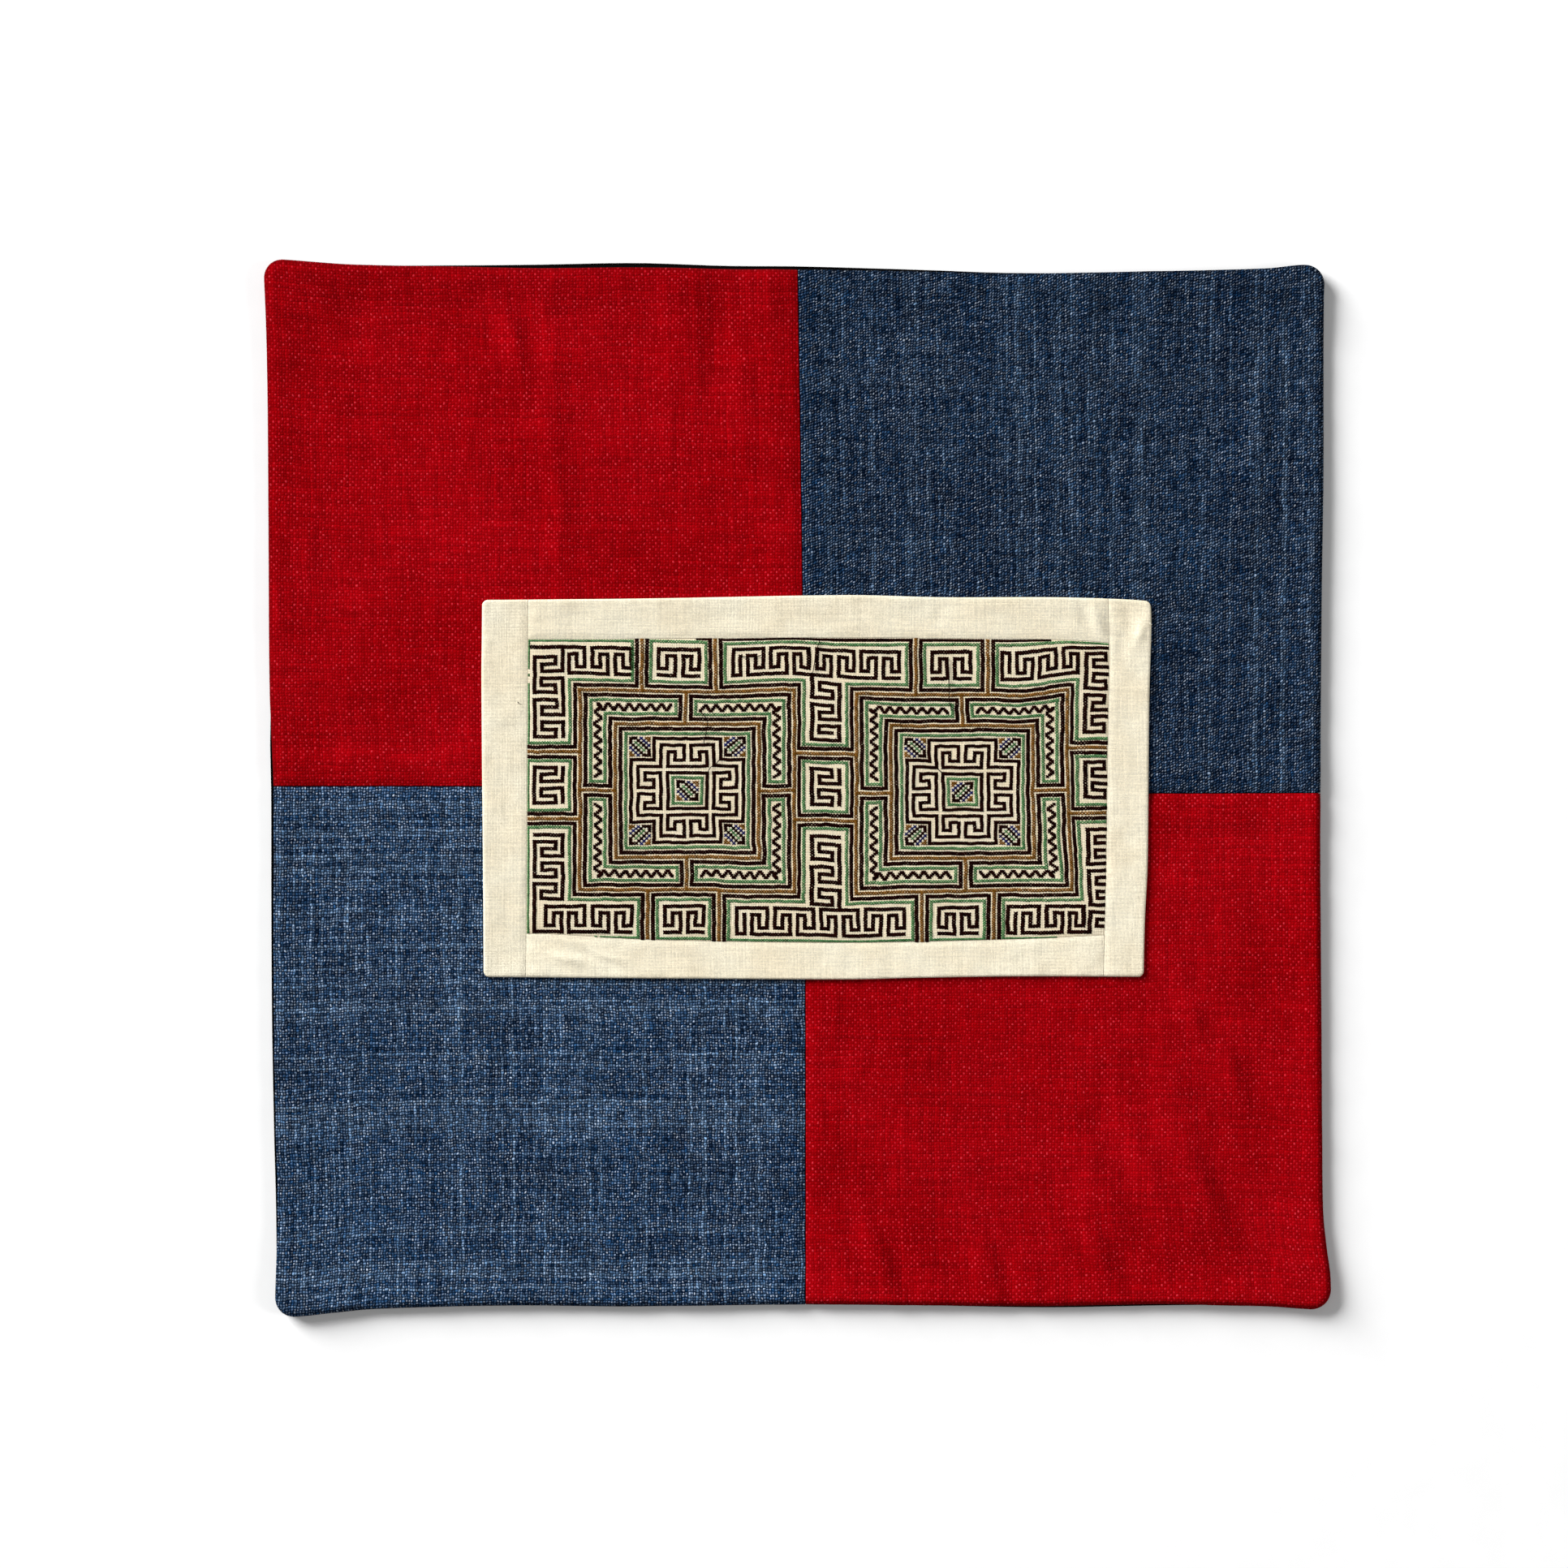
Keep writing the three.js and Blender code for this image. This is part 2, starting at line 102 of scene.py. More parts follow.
RIGHT_EDGE = [
    (-220, 225.5, -0.7), (-208, 225.2, -0.6), (-197, 223.8, -0.6), (-181, 222.3, -0.6),
    (-149, 221.9, -0.6), (-101, 221.6, -0.6), (-37, 221.1, -0.6), (0, 221.1, -0.6),
    (86, 221.7, -0.6), (135, 222.4, -0.6), (209, 222.5, -0.6), (221, 223.0, -0.7),
]
VERTICAL_SEAM = [(-219, 3.4), (-81, 3.3), (81, 2.2), (219, 0.2)]
HORIZONTAL_SEAM = [(-222, 0.7), (-133, 0.6), (148, -2.2), (221, -2.1)]
FRAME_TOP = [
    (-133, 79.5), (-72, 80.1), (13, 81.5), (54, 80.6), (98, 80.6), (130, 79.7), (148, 78.2),
]
FRAME_BOTTOM = [(-133, -79.9), (-62, -80.5), (13, -80.9), (43, -80.2), (87, -79.6), (147, -79.8)]
FRAME_LEFT = [(-80, -132.6), (-44, -132.8), (42, -133.5), (80, -133.2)]
FRAME_RIGHT = [
    (-80, 146.2), (-56, 146.8), (-34, 147.9), (0, 148.3), (42, 148.7), (70, 149.5), (80, 149.3),
]
LEFT_STRIP_SEAM = [(-80, -114.7), (80, -113.8)]
RIGHT_STRIP_SEAM = [(-80, 129.3), (-34, 130.4), (10, 131.0), (60, 131.8), (80, 131.3)]
PANEL_TOP = [(-114, 62.9), (-66, 63.1), (13, 63.5), (81, 62.9), (109, 62.3), (132, 60.4)]
PANEL_BOTTOM = [
    (-115, -61.6), (-94, -62.8), (-66, -64.3), (13, -65.4), (81, -64.0), (130, -61.9),
]

# Soft folds of the front: x, y, direction in degrees, reach along, reach across, height.
FOLDS = [
    (-185, 196, 95, 18, 9, -0.55), (-114, 196, 118, 12, 5, -0.5), (-106, 158, 90, 34, 9, 0.5),
    (-65, 196, 92, 24, 8, -0.6), (-47, 192, 90, 30, 10, 0.9), (-28, 186, 86, 20, 7, -0.65),
    (-14, 201, 94, 24, 7, 0.6), (13, 168, 91, 38, 9, -0.5), (125, 200, 90, 20, 7, 0.8),
    (136, 198, 96, 17, 5, -0.6), (157, 199, 104, 20, 7, 0.7), (168, 203, 106, 18, 6, -0.6),
    (186, 110, 80, 40, 12, 0.7), (178, -101, 122, 24, 8, -0.6), (190, -92, 118, 26, 9, 0.8),
    (176, -158, 108, 30, 8, -0.6), (162, -172, 116, 32, 11, 1.3), (41, -201, 116, 18, 5, -0.6),
    (50, -198, 112, 20, 6, 0.9), (89, -206, 106, 12, 5, -0.6), (97, -203, 104, 14, 6, 0.7),
    (140, -200, 112, 16, 6, -0.6), (161, -207, 100, 11, 6, -0.5), (-150, -196, 70, 26, 10, 0.5),
    (-196, -130, 84, 34, 11, 0.5),
]
# Smaller creases that the plain solids leave out, in the same terms.
CREASES = [
    (131, -171, 116, 28, 6.5, 1.0), (144, -154, 112, 28, 5, 1.6), (172, -170, 116, 34, 6, 2.3),
    (127, -195, 114, 17, 5, 2.7), (112, -190, 110, 16, 4.5, 0.9), (168, -100, 112, 15, 4.5, 2.2),
    (34, -198, 112, 17, 5, 2.6), (80, -202, 108, 13, 4.5, 2.2), (-119.5, 188, 106, 16, 4.5, 2.1),
    (-104, 172, 92, 30, 5, 0.9), (-100, 112, 92, 28, 5, 1.3), (-54, 180, 93, 30, 4.5, 0.5),
    (-36, 182, 88, 24, 4, -0.8), (-24, 176, 92, 34, 4.5, 0.9), (131, 204, 100, 14, 3.5, -0.8),
    (150, 202, 102, 16, 4, 0.9), (162, 206, 108, 13, 3.5, -0.7), (195, 150, 84, 34, 5, 0.8),
    (-206, 100, 92, 36, 5, 0.6), (-204, -60, 88, 30, 5, 0.6), (-120, -206, 75, 12, 4, 0.6),
    (-60, -206, 96, 12, 4, -0.6), (20, -207, 96, 11, 3, 0.7), (160, -120, 104, 30, 7, 0.8),
    (118, -140, 112, 34, 8, 0.8), (183, -118, 112, 17, 4.5, 2.3), (48, -160, 96, 28, 7, 0.5),
]
# The folded allowance under each patch shows as a low step this far from the seams.
ALLOWANCE_STEP = 0.42
ALLOWANCE_SHOWS = 14
# Puckers of the coarse cloth along its seams and its rim.
PUCKER_REACH = 7
SEAM_PUCKER = 0.16
RIM_PUCKER = 0.22
# Creases of the sewn-on frame, in the same terms as the folds.
FRAME_CREASES = [
    (122, 71, 118, 6, 1.9, -0.7), (126.5, 72, 112, 6, 1.9, 1.1), (140, 71, 100, 6, 2.0, -0.55),
    (145, 66, 70, 5, 1.9, 0.9), (137, 60, 95, 7, 1.9, -0.4), (-89, -70, 162, 9, 1.8, -0.7),
    (-80, -71.5, 164, 8, 1.8, 1.1), (-98, -72, 168, 7, 1.8, 0.9), (-10, 72, 92, 6, 2.2, 0.3),
    (40, -72, 88, 6, 2.4, -0.3), (-124, 30, 8, 5, 2.4, 0.25), (140, -20, 172, 5, 2.4, -0.3),
    (60, 72, 80, 5, 2.2, -0.25), (-60, 72, 100, 5, 2.2, 0.25), (100, -72, 110, 6, 2.2, 0.3),
]
# Long, low swells: waves a metre across and up, start, height.
SWELLS = [(9.5, 1.6, 0.6, 0.16), (3.2, -6.8, 2.1, 0.14), (14.0, 4.3, 4.4, 0.08)]

# Helpers.


def value_at(table, at, column=1):
    """Smooth value of a table at places along it, by a cubic between the two nearest rows."""
    rows = np.array(table, dtype=float)
    ats = rows[:, 0]
    values = rows[:, column]
    last = len(ats) - 1
    place = np.clip(at, ats[0], ats[last])
    i = np.clip(np.searchsorted(ats, place, side="left") - 1, 0, last - 1)
    before = np.maximum(np.arange(last + 1) - 1, 0)
    after = np.minimum(np.arange(last + 1) + 1, last)
    slope = (values[after] - values[before]) / (ats[after] - ats[before])
    span = ats[i + 1] - ats[i]
    t = (place - ats[i]) / span
    rise = 2 * t**3 - 3 * t**2 + 1
    return (
        rise * values[i]
        + (1 - rise) * values[i + 1]
        + span * ((t**3 - 2 * t**2 + t) * slope[i] + (t**3 - t**2) * slope[i + 1])
    )


def smooth_step(value, low, high):
    t = np.clip((value - low) / (high - low), 0, 1)
    return t * t * (3 - 2 * t)


def bell(distance, reach):
    return np.exp(-((distance / reach) ** 2))


def round_off(rim, width):
    t = np.maximum(1 - rim / width, 0)
    return 1 - np.sqrt(1 - t * t)


def unevenness(x, y, cell, seed):
    """Smooth seeded noise from -1 to 1 with features of about one cell."""
    lattice = np.random.default_rng(seed).uniform(-1, 1, (64, 64))
    px = np.asarray(x) / cell + 17.3
    py = np.asarray(y) / cell + 9.1
    ix = np.floor(px).astype(int)
    iy = np.floor(py).astype(int)
    fx = px - ix
    fy = py - iy
    fx = fx * fx * (3 - 2 * fx)
    fy = fy * fy * (3 - 2 * fy)

    def knot(a, b):
        return lattice[a % 64, b % 64]

    low = knot(ix, iy) * (1 - fx) + knot(ix + 1, iy) * fx
    high = knot(ix, iy + 1) * (1 - fx) + knot(ix + 1, iy + 1) * fx
    return low * (1 - fy) + high * fy


# How the cloth lies.


def between(lines, plan, along):
    """Real place of plan values between the two lines that they lie between."""
    plans = np.array([plan_value for plan_value, _ in lines])
    i = np.clip(np.searchsorted(plans, plan, side="left") - 1, 0, len(lines) - 2)
    reals = np.stack([real(along) for _, real in lines])
    take = np.indices(i.shape)
    low = reals[(i, *take)]
    high = reals[(i + 1, *take)]
    t = (plan - plans[i]) / (plans[i + 1] - plans[i])
    return low + (high - low) * t


def line(plan, table, side=1):
    return plan, lambda along: side * value_at(table, along)


def back_line(plan, table, side):
    return plan, lambda along: side * (value_at(table, along) + value_at(table, along, 2))


class Layout:
    """Takes plan points to real points, with rounded corners and the distance from the rim."""

    def __init__(self, halves, radius, x_lines, y_lines):
        self.halves = halves
        self.radius = radius
        self.x_lines = x_lines
        self.y_lines = y_lines

    def __call__(self, plan_x, plan_y):
        half_x, half_y = self.halves
        radius = self.radius
        in_x, in_y = half_x - radius, half_y - radius
        over_x = np.maximum(np.abs(plan_x) - in_x, 0) / radius
        over_y = np.maximum(np.abs(plan_y) - in_y, 0) / radius
        corner = (over_x > 0) & (over_y > 0)
        bent_x = np.sign(plan_x) * (in_x + radius * over_x * np.sqrt(1 - over_y**2 / 2))
        bent_y = np.sign(plan_y) * (in_y + radius * over_y * np.sqrt(1 - over_x**2 / 2))
        u = np.where(corner, bent_x, plan_x)
        v = np.where(corner, bent_y, plan_y)
        corner_x = np.maximum(np.abs(u) - in_x, 0)
        corner_y = np.maximum(np.abs(v) - in_y, 0)
        inside = np.minimum(half_x - np.abs(u), half_y - np.abs(v))
        rounded = radius - np.hypot(corner_x, corner_y)
        rim = np.where((corner_x > 0) & (corner_y > 0), rounded, inside)
        return {
            "u": u,
            "v": v,
            "x": between(self.x_lines, u, v),
            "y": between(self.y_lines, v, u),
            "rim": np.maximum(rim, 0),
            "corner": np.hypot(in_x - np.abs(u), in_y - np.abs(v)),
        }


COVER_HALVES = (COVER_HALF_X, COVER_HALF_Y)
front_layout = Layout(
    COVER_HALVES, COVER_CORNER_RADIUS,
    [line(-COVER_HALF_X, LEFT_EDGE, -1), line(0, VERTICAL_SEAM), line(COVER_HALF_X, RIGHT_EDGE)],
    [line(-COVER_HALF_Y, BOTTOM_EDGE, -1), line(0, HORIZONTAL_SEAM), line(COVER_HALF_Y, TOP_EDGE)],
)
back_layout = Layout(
    COVER_HALVES, COVER_CORNER_RADIUS,
    [back_line(-COVER_HALF_X, LEFT_EDGE, -1), back_line(COVER_HALF_X, RIGHT_EDGE, 1)],
    [back_line(-COVER_HALF_Y, BOTTOM_EDGE, -1), back_line(COVER_HALF_Y, TOP_EDGE, 1)],
)
applique_layout = Layout(
    (FRAME_HALF_X, FRAME_HALF_Y), FRAME_CORNER_RADIUS,
    [
        line(-FRAME_HALF_X, FRAME_LEFT), line(-PANEL_HALF_X, LEFT_STRIP_SEAM),
        line(PANEL_HALF_X, RIGHT_STRIP_SEAM), line(FRAME_HALF_X, FRAME_RIGHT),
    ],
    [
        line(-FRAME_HALF_Y, FRAME_BOTTOM), line(-PANEL_HALF_Y, PANEL_BOTTOM),
        line(PANEL_HALF_Y, PANEL_TOP), line(FRAME_HALF_Y, FRAME_TOP),
    ],
)


def folded(x, y, folds):
    """Height of soft ridges and troughs at a place."""
    height = np.zeros(np.shape(x))
    for fold_x, fold_y, turn, long, wide, high in folds:
        c = math.cos(math.radians(turn))
        s = math.sin(math.radians(turn))
        along = (x - fold_x) * c + (y - fold_y) * s
        across = (y - fold_y) * c - (x - fold_x) * s
        height = height + high * bell(along, long) * bell(across, wide)
    return height


def front_lie(x, y):
    height = FRONT_LIE + folded(x, y, FOLDS) + folded(x, y, CREASES)
    for across, up, start, high in SWELLS:
        height = height + high * np.sin(2 * math.pi * (across * x + up * y) / 1000 + start)
    return np.maximum(height, FRONT_LIE_LEAST)


def patch_texture(p):
    """Small unevenness of the coarse cloth, with puckers along the seams and the rim."""
    x, y = p["x"], p["y"]
    fine = 0.1 * unevenness(x, y, 9, 3) + 0.05 * unevenness(x, y, 3.6, 4)
    seam_x = bell(p["u"], PUCKER_REACH) * unevenness(y * 0.4, y, 5.5, 5)
    seam_y = bell(p["v"], PUCKER_REACH) * unevenness(x, x * 0.4, 5.5, 6)
    rim = bell(p["rim"] - 5, PUCKER_REACH) * unevenness(x, y, 7.5, 7)
    return fine + SEAM_PUCKER * (seam_x + seam_y) + RIM_PUCKER * rim


def past_frame(x, y):
    """How far a place lies outside the sewn-on frame."""
    past_sides = np.maximum(value_at(FRAME_LEFT, y) - x, x - value_at(FRAME_RIGHT, y))
    past_ends = np.maximum(value_at(FRAME_BOTTOM, x) - y, y - value_at(FRAME_TOP, x))
    return np.maximum(past_sides, past_ends)


def patch_upper(p):
    seam = np.minimum(np.abs(p["u"]), np.abs(p["v"]))
    allowance = 1 - smooth_step(seam, ALLOWANCE_SHOWS - 2, ALLOWANCE_SHOWS + 2)
    open_front = smooth_step(past_frame(p["x"], p["y"]), 1, 6)
    return (
        front_lie(p["x"], p["y"])
        + RIM_RISE * bell(p["rim"], RIM_REACH)
        + CORNER_PUFF * bell(p["corner"], CORNER_PUFF_REACH)
        - RIM_ROLL * round_off(p["rim"], RIM_ROLL_WIDTH)
        - SEAM_DEPTH * bell(seam, SEAM_WIDTH)
        + ALLOWANCE_STEP * allowance * open_front
        + patch_texture(p)
    )


def patch_lower(p):
    seated = BACK_THICKNESS + PIECE_GAP
    seated = seated + BACK_RIM_RISE * round_off(np.maximum(p["rim"] - FRONT_OVERHANG, 0), BACK_ROLL_WIDTH)
    open_cloth = front_lie(p["x"], p["y"]) - PATCH_THICKNESS
    t = smooth_step(p["rim"], ALLOWANCE_WIDTH - 4, ALLOWANCE_WIDTH + 2)
    return seated + (open_cloth - seated) * t


def back_upper(p):
    return BACK_THICKNESS + BACK_RIM_RISE * round_off(p["rim"], BACK_ROLL_WIDTH)


def back_lower(p):
    return BACK_ROLL * round_off(p["rim"], BACK_ROLL_WIDTH)


def applique_lower(p):
    return front_lie(p["x"], p["y"]) + APPLIQUE_GAP


def applique_upper(p):
    side_seam = np.abs(np.abs(p["u"]) - PANEL_HALF_X)
    inner = np.abs(p["u"]) < PANEL_HALF_X
    cross_seam = np.where(inner, np.abs(np.abs(p["v"]) - PANEL_HALF_Y), side_seam)
    x, y = p["x"], p["y"]
    past_panel = np.maximum(np.abs(p["u"]) - PANEL_HALF_X, np.abs(p["v"]) - PANEL_HALF_Y)
    on_strip = smooth_step(past_panel, 0, 2)
    creases = on_strip * (0.12 * unevenness(x, y, 6, 11) + 0.06 * unevenness(x, y, 2.6, 12))
    creases = creases + on_strip * folded(x, y, FRAME_CREASES)
    ground = (1 - on_strip) * (0.09 * unevenness(x, y, 11, 13) + 0.04 * unevenness(x, y, 4, 14))
    return (
        applique_lower(p)
        + APPLIQUE_THICKNESS
        + TURNED_EDGE_RISE * bell(p["rim"], TURNED_EDGE_REACH)
        - TURNED_EDGE_ROLL * round_off(p["rim"], TURNED_EDGE_ROLL_WIDTH)
        - STRIP_SEAM_DEPTH * bell(np.minimum(side_seam, cross_seam), STRIP_SEAM_WIDTH)
        + creases
        + ground
    )


def on_panel(x, y):
    """The panel's plan place of real points, good to a tenth of a millimetre."""
    left = value_at(LEFT_STRIP_SEAM, y)
    right = value_at(RIGHT_STRIP_SEAM, y)
    u = PANEL_HALF_X * (2 * (x - left) / (right - left) - 1)
    top = value_at(PANEL_TOP, u)
    bottom = value_at(PANEL_BOTTOM, u)
    v = PANEL_HALF_Y * (2 * (y - bottom) / (top - bottom) - 1)
    rim = np.minimum(FRAME_HALF_X - np.abs(u), FRAME_HALF_Y - np.abs(v))
    return {"u": u, "v": v, "x": x, "y": y, "rim": rim}


# Meshes.


def build_mesh(name, points, sizes, loops, cloth_uv, bake_uv):
    """A mesh from points in mm, the corner count of each face and its corners."""
    mesh = bpy.data.meshes.new(name)
    mesh.vertices.add(len(points))
    mesh.vertices.foreach_set("co", (np.asarray(points) * MM).astype(np.float32).ravel())
    mesh.loops.add(len(loops))
    mesh.loops.foreach_set("vertex_index", np.asarray(loops, dtype=np.int32))
    mesh.polygons.add(len(sizes))
    starts = np.concatenate([[0], np.cumsum(sizes)[:-1]]).astype(np.int32)
    mesh.polygons.foreach_set("loop_start", starts)
    mesh.update(calc_edges=True)
    for layer_name, values in (("cloth", cloth_uv), ("OFBake", bake_uv)):
        layer = mesh.uv_layers.new(name=layer_name)
        layer.data.foreach_set("uv", np.asarray(values, dtype=np.float32).ravel())
    mesh.polygons.foreach_set("use_smooth", np.ones(len(sizes), dtype=bool))
    piece = bpy.data.objects.new(name, mesh)
    bpy.context.scene.collection.objects.link(piece)
    return piece


# The cloth that a sheet's wall takes on the cloth map.
WALL_CLOTH = 1.2
# The bake map of a sheet: where each face starts and how far it spans, and the width of the walls.
BAKE_MARGIN = 0.02
BAKE_SPAN = 0.96
UPPER_START, UPPER_SPAN = np.array([BAKE_MARGIN, 0.27]), np.array([BAKE_SPAN, 0.71])
UNDER_START, UNDER_SPAN = np.array([BAKE_MARGIN, BAKE_MARGIN]), np.array([BAKE_SPAN, 0.22])
BAKE_WALL = 0.012


def grid_sheet(name, layout, x_grid, y_grid, lower, upper):
    """A closed sheet on plan lines, with a cloth map in metres and a tidy bake map."""
    plan_x, plan_y = np.meshgrid(np.array(x_grid), np.array(y_grid))
    p = layout(plan_x, plan_y)
    rows, columns = plan_x.shape
    layer = rows * columns
    top = np.stack([p["x"], p["y"], upper(p)], axis=-1).reshape(-1, 3)
    under = np.stack([p["x"], p["y"], lower(p)], axis=-1).reshape(-1, 3)
    points = np.concatenate([top, under])
    j, i = np.meshgrid(np.arange(rows - 1), np.arange(columns - 1), indexing="ij")
    a = (j * columns + i).ravel()
    upper_quads = np.stack([a, a + 1, a + columns + 1, a + columns], axis=-1)
    under_quads = layer + np.stack([a, a + columns, a + columns + 1, a + 1], axis=-1)
    i = np.arange(columns - 1)
    j = np.arange(rows - 1)
    far = layer - columns
    first = np.concatenate([i, far + i + 1, (j + 1) * columns, j * columns + columns - 1])
    second = np.concatenate([i + 1, far + i, j * columns, (j + 2) * columns - 1])
    walls = np.stack([layer + first, layer + second, second, first], axis=-1)
    loops = np.concatenate([upper_quads, under_quads, walls]).ravel()
    sizes = np.full(len(loops) // 4, 4)

    plan = np.stack([p["u"], p["v"]], axis=-1).reshape(-1, 2)
    low = plan.min(axis=0)
    span = plan.max(axis=0) - low
    part = (plan - low) / span
    out = np.where(part < 1e-6, -1.0, np.where(part > 1 - 1e-6, 1.0, 0.0))
    cloth = np.concatenate([plan, plan + WALL_CLOTH * out]) * MM
    top_map = UPPER_START + UPPER_SPAN * part
    under_map = UNDER_START + UNDER_SPAN * part
    bake = np.concatenate([top_map, under_map])[loops]
    wall_start = 4 * (len(upper_quads) + len(under_quads))
    wall_loops = loops[wall_start:]
    is_low = wall_loops >= layer
    base = np.where(is_low, wall_loops - layer, wall_loops)
    bake[wall_start:] = top_map[base] + BAKE_WALL * out[base] * is_low[:, None]
    return build_mesh(name, points, sizes, loops, cloth[loops], bake)


def evenly(start, end, step):
    count = max(round(abs(end - start) / step), 1)
    return [start + (end - start) * i / count for i in range(count + 1)]


def unique(values):
    return sorted({round(value, 5) for value in values})


RIM_STEPS = [0, 0.25, 0.7, 1.3, 2.1, 3.1, 4.3, 5.8, 7.6, 9.6]
SEAM_STEPS = [0.15, 0.5, 1.0, 1.7, 2.6, 3.8, 5.4]
PATCH_STEP = 2.25
BACK_STEP = 9
TURNED_STEPS = [0, 0.2, 0.45, 0.8, 1.2, 1.9, 2.8]
JOIN_STEPS = [0.04, 0.35, 0.8, 1.4, 2.2]


def half_grid(half, side):
    near_rim = [half - step for step in RIM_STEPS]
    middle = evenly(SEAM_STEPS[-1], near_rim[-1], PATCH_STEP)
    return unique(side * value for value in [*SEAM_STEPS, *middle, *near_rim])


def back_grid(half):
    near_rim = [half - step for step in RIM_STEPS]
    middle = evenly(-near_rim[-1], near_rim[-1], BACK_STEP)
    return unique([*near_rim, *(-value for value in near_rim), *middle])


def strip_grid(start, end, rim_at_start, rim_at_end, step):
    near = [start + s for s in (TURNED_STEPS if rim_at_start else JOIN_STEPS)]
    far = [end - s for s in (TURNED_STEPS if rim_at_end else JOIN_STEPS)]
    return unique([*near, *far, *evenly(near[-1], far[-1], step)])


# Materials.


def colour(red, green, blue):
    """A linear colour from display values of 0 to 255."""
    values = []
    for value in (red, green, blue):
        value = value / 255
        values.append(value / 12.92 if value <= 0.04045 else ((value + 0.055) / 1.055) ** 2.4)
    return (*values, 1.0)


# How often the tone changes along a yarn, and how far the tone's pattern moves from yarn to yarn.
STREAKS_PER_METRE = 45.0
YARN_STEP = 0.9


class Finish:
    """A material under construction, with short calls for its nodes."""

    def __init__(self, name, roughness, specular, sheen):
        self.material = bpy.data.materials.new(name)
        self.material.use_nodes = True
        self.tree = self.material.node_tree
        self.shader = next(n for n in self.tree.nodes if n.type == "BSDF_PRINCIPLED")
        self.shader.inputs["Roughness"].default_value = roughness
        self.shader.inputs["Specular IOR Level"].default_value = specular
        self.shader.inputs["Sheen Weight"].default_value = sheen

    def add(self, kind, **settings):
        node = self.tree.nodes.new(kind)
        for key, value in settings.items():
            setattr(node, key, value)
        return node

    def feed(self, socket, value):
        if isinstance(value, bpy.types.NodeSocket):
            self.tree.links.new(value, socket)
        else:
            socket.default_value = value

    def math(self, operation, *values, clamp=False):
        node = self.add("ShaderNodeMath", operation=operation, use_clamp=clamp)
        for socket, value in zip(node.inputs, values):
            self.feed(socket, value)
        return node.outputs[0]

    def times(self, first, second, clamp=False):
        return self.math("MULTIPLY", first, second, clamp=clamp)

    def plus(self, first, second):
        return self.math("ADD", first, second)

    def minus(self, first, second, clamp=False):
        return self.math("SUBTRACT", first, second, clamp=clamp)

    def pair(self, x, y, z=0.0):
        node = self.add("ShaderNodeCombineXYZ")
        self.feed(node.inputs[0], x)
        self.feed(node.inputs[1], y)
        self.feed(node.inputs[2], z)
        return node.outputs[0]

    def places(self):
        node = self.add("ShaderNodeUVMap", uv_map="cloth")
        split = self.add("ShaderNodeSeparateXYZ")
        self.feed(split.inputs[0], node.outputs[0])
        return split.outputs[0], split.outputs[1]

    def noise(self, vector, scale, detail=2.0, roughness=0.5):
        node = self.add("ShaderNodeTexNoise")
        sockets = {"Vector": vector, "Scale": scale, "Detail": detail, "Roughness": roughness}
        for socket, value in sockets.items():
            self.feed(node.inputs[socket], value)
        return node.outputs[0]

    def scatter(self, vector):
        node = self.add("ShaderNodeTexWhiteNoise")
        self.feed(node.inputs["Vector"], vector)
        return node.outputs["Value"]

    def fit(self, value, low, high, to_low=0.0, to_high=1.0):
        node = self.add("ShaderNodeMapRange", interpolation_type="SMOOTHSTEP")
        for socket, item in zip(node.inputs, (value, low, high, to_low, to_high)):
            self.feed(socket, item)
        return node.outputs[0]

    def spread(self, chance, low, high):
        return self.fit(chance, 0.0, 1.0, low, high)

    def mix(self, factor, first, second):
        node = self.add("ShaderNodeMix", data_type="RGBA")
        self.feed(node.inputs[0], factor)
        self.feed(node.inputs[6], first)
        self.feed(node.inputs[7], second)
        return node.outputs[2]

    def tone(self, base, factor):
        """The colour made lighter or darker by a factor around one."""
        node = self.add("ShaderNodeHueSaturation")
        self.feed(node.inputs["Value"], factor)
        self.feed(node.inputs["Color"], base)
        return node.outputs[0]

    def painted_rim_shade(self, base):
        """Painted shade: the colour of the front's cloth made darker where the cloth turns down, out of
        the light, at the cover's rim.
        """
        past = []
        for place, half in zip(self.places(), (COVER_HALF_X, COVER_HALF_Y)):
            out = self.minus(self.math("ABSOLUTE", place), (half - COVER_CORNER_RADIUS) * MM)
            past.append(self.math("POWER", self.math("MAXIMUM", out, 0.0), 2.0))
        reach = self.math("SQRT", self.plus(past[0], past[1]))
        edge = COVER_CORNER_RADIUS * MM
        return self.tone(base, self.fit(reach, edge - PAINTED_RIM_SHADE_WIDTH * MM, edge, 1.0, PAINTED_RIM_SHADE_TONE))

    def weave(self, pitch_x, pitch_y, wander=0.25, uneven=0.2, lean=0.0, drop=0.0):
        """Yarns of a plain weave: their cells, heights and slow changes along each yarn.

        lean tilts the short floats to the right by that share of a yarn's pitch, and drop lets the
        floats of each upright yarn start up to that share of a pitch lower than its neighbours' do.
        """
        u, v = self.places()
        spot = self.pair(u, v)
        turned = self.pair(v, u, 3.0)
        rough = 0.55 / (pitch_x * MM)

        def counted(place, pitch, where):
            slow = self.minus(self.noise(where, 70.0, 1.0), 0.5)
            quick = self.minus(self.noise(where, rough, 1.0), 0.5)
            shift = self.plus(self.times(slow, wander * 4), self.times(quick, uneven * 2))
            return self.plus(self.math("DIVIDE", place, pitch * MM), shift)

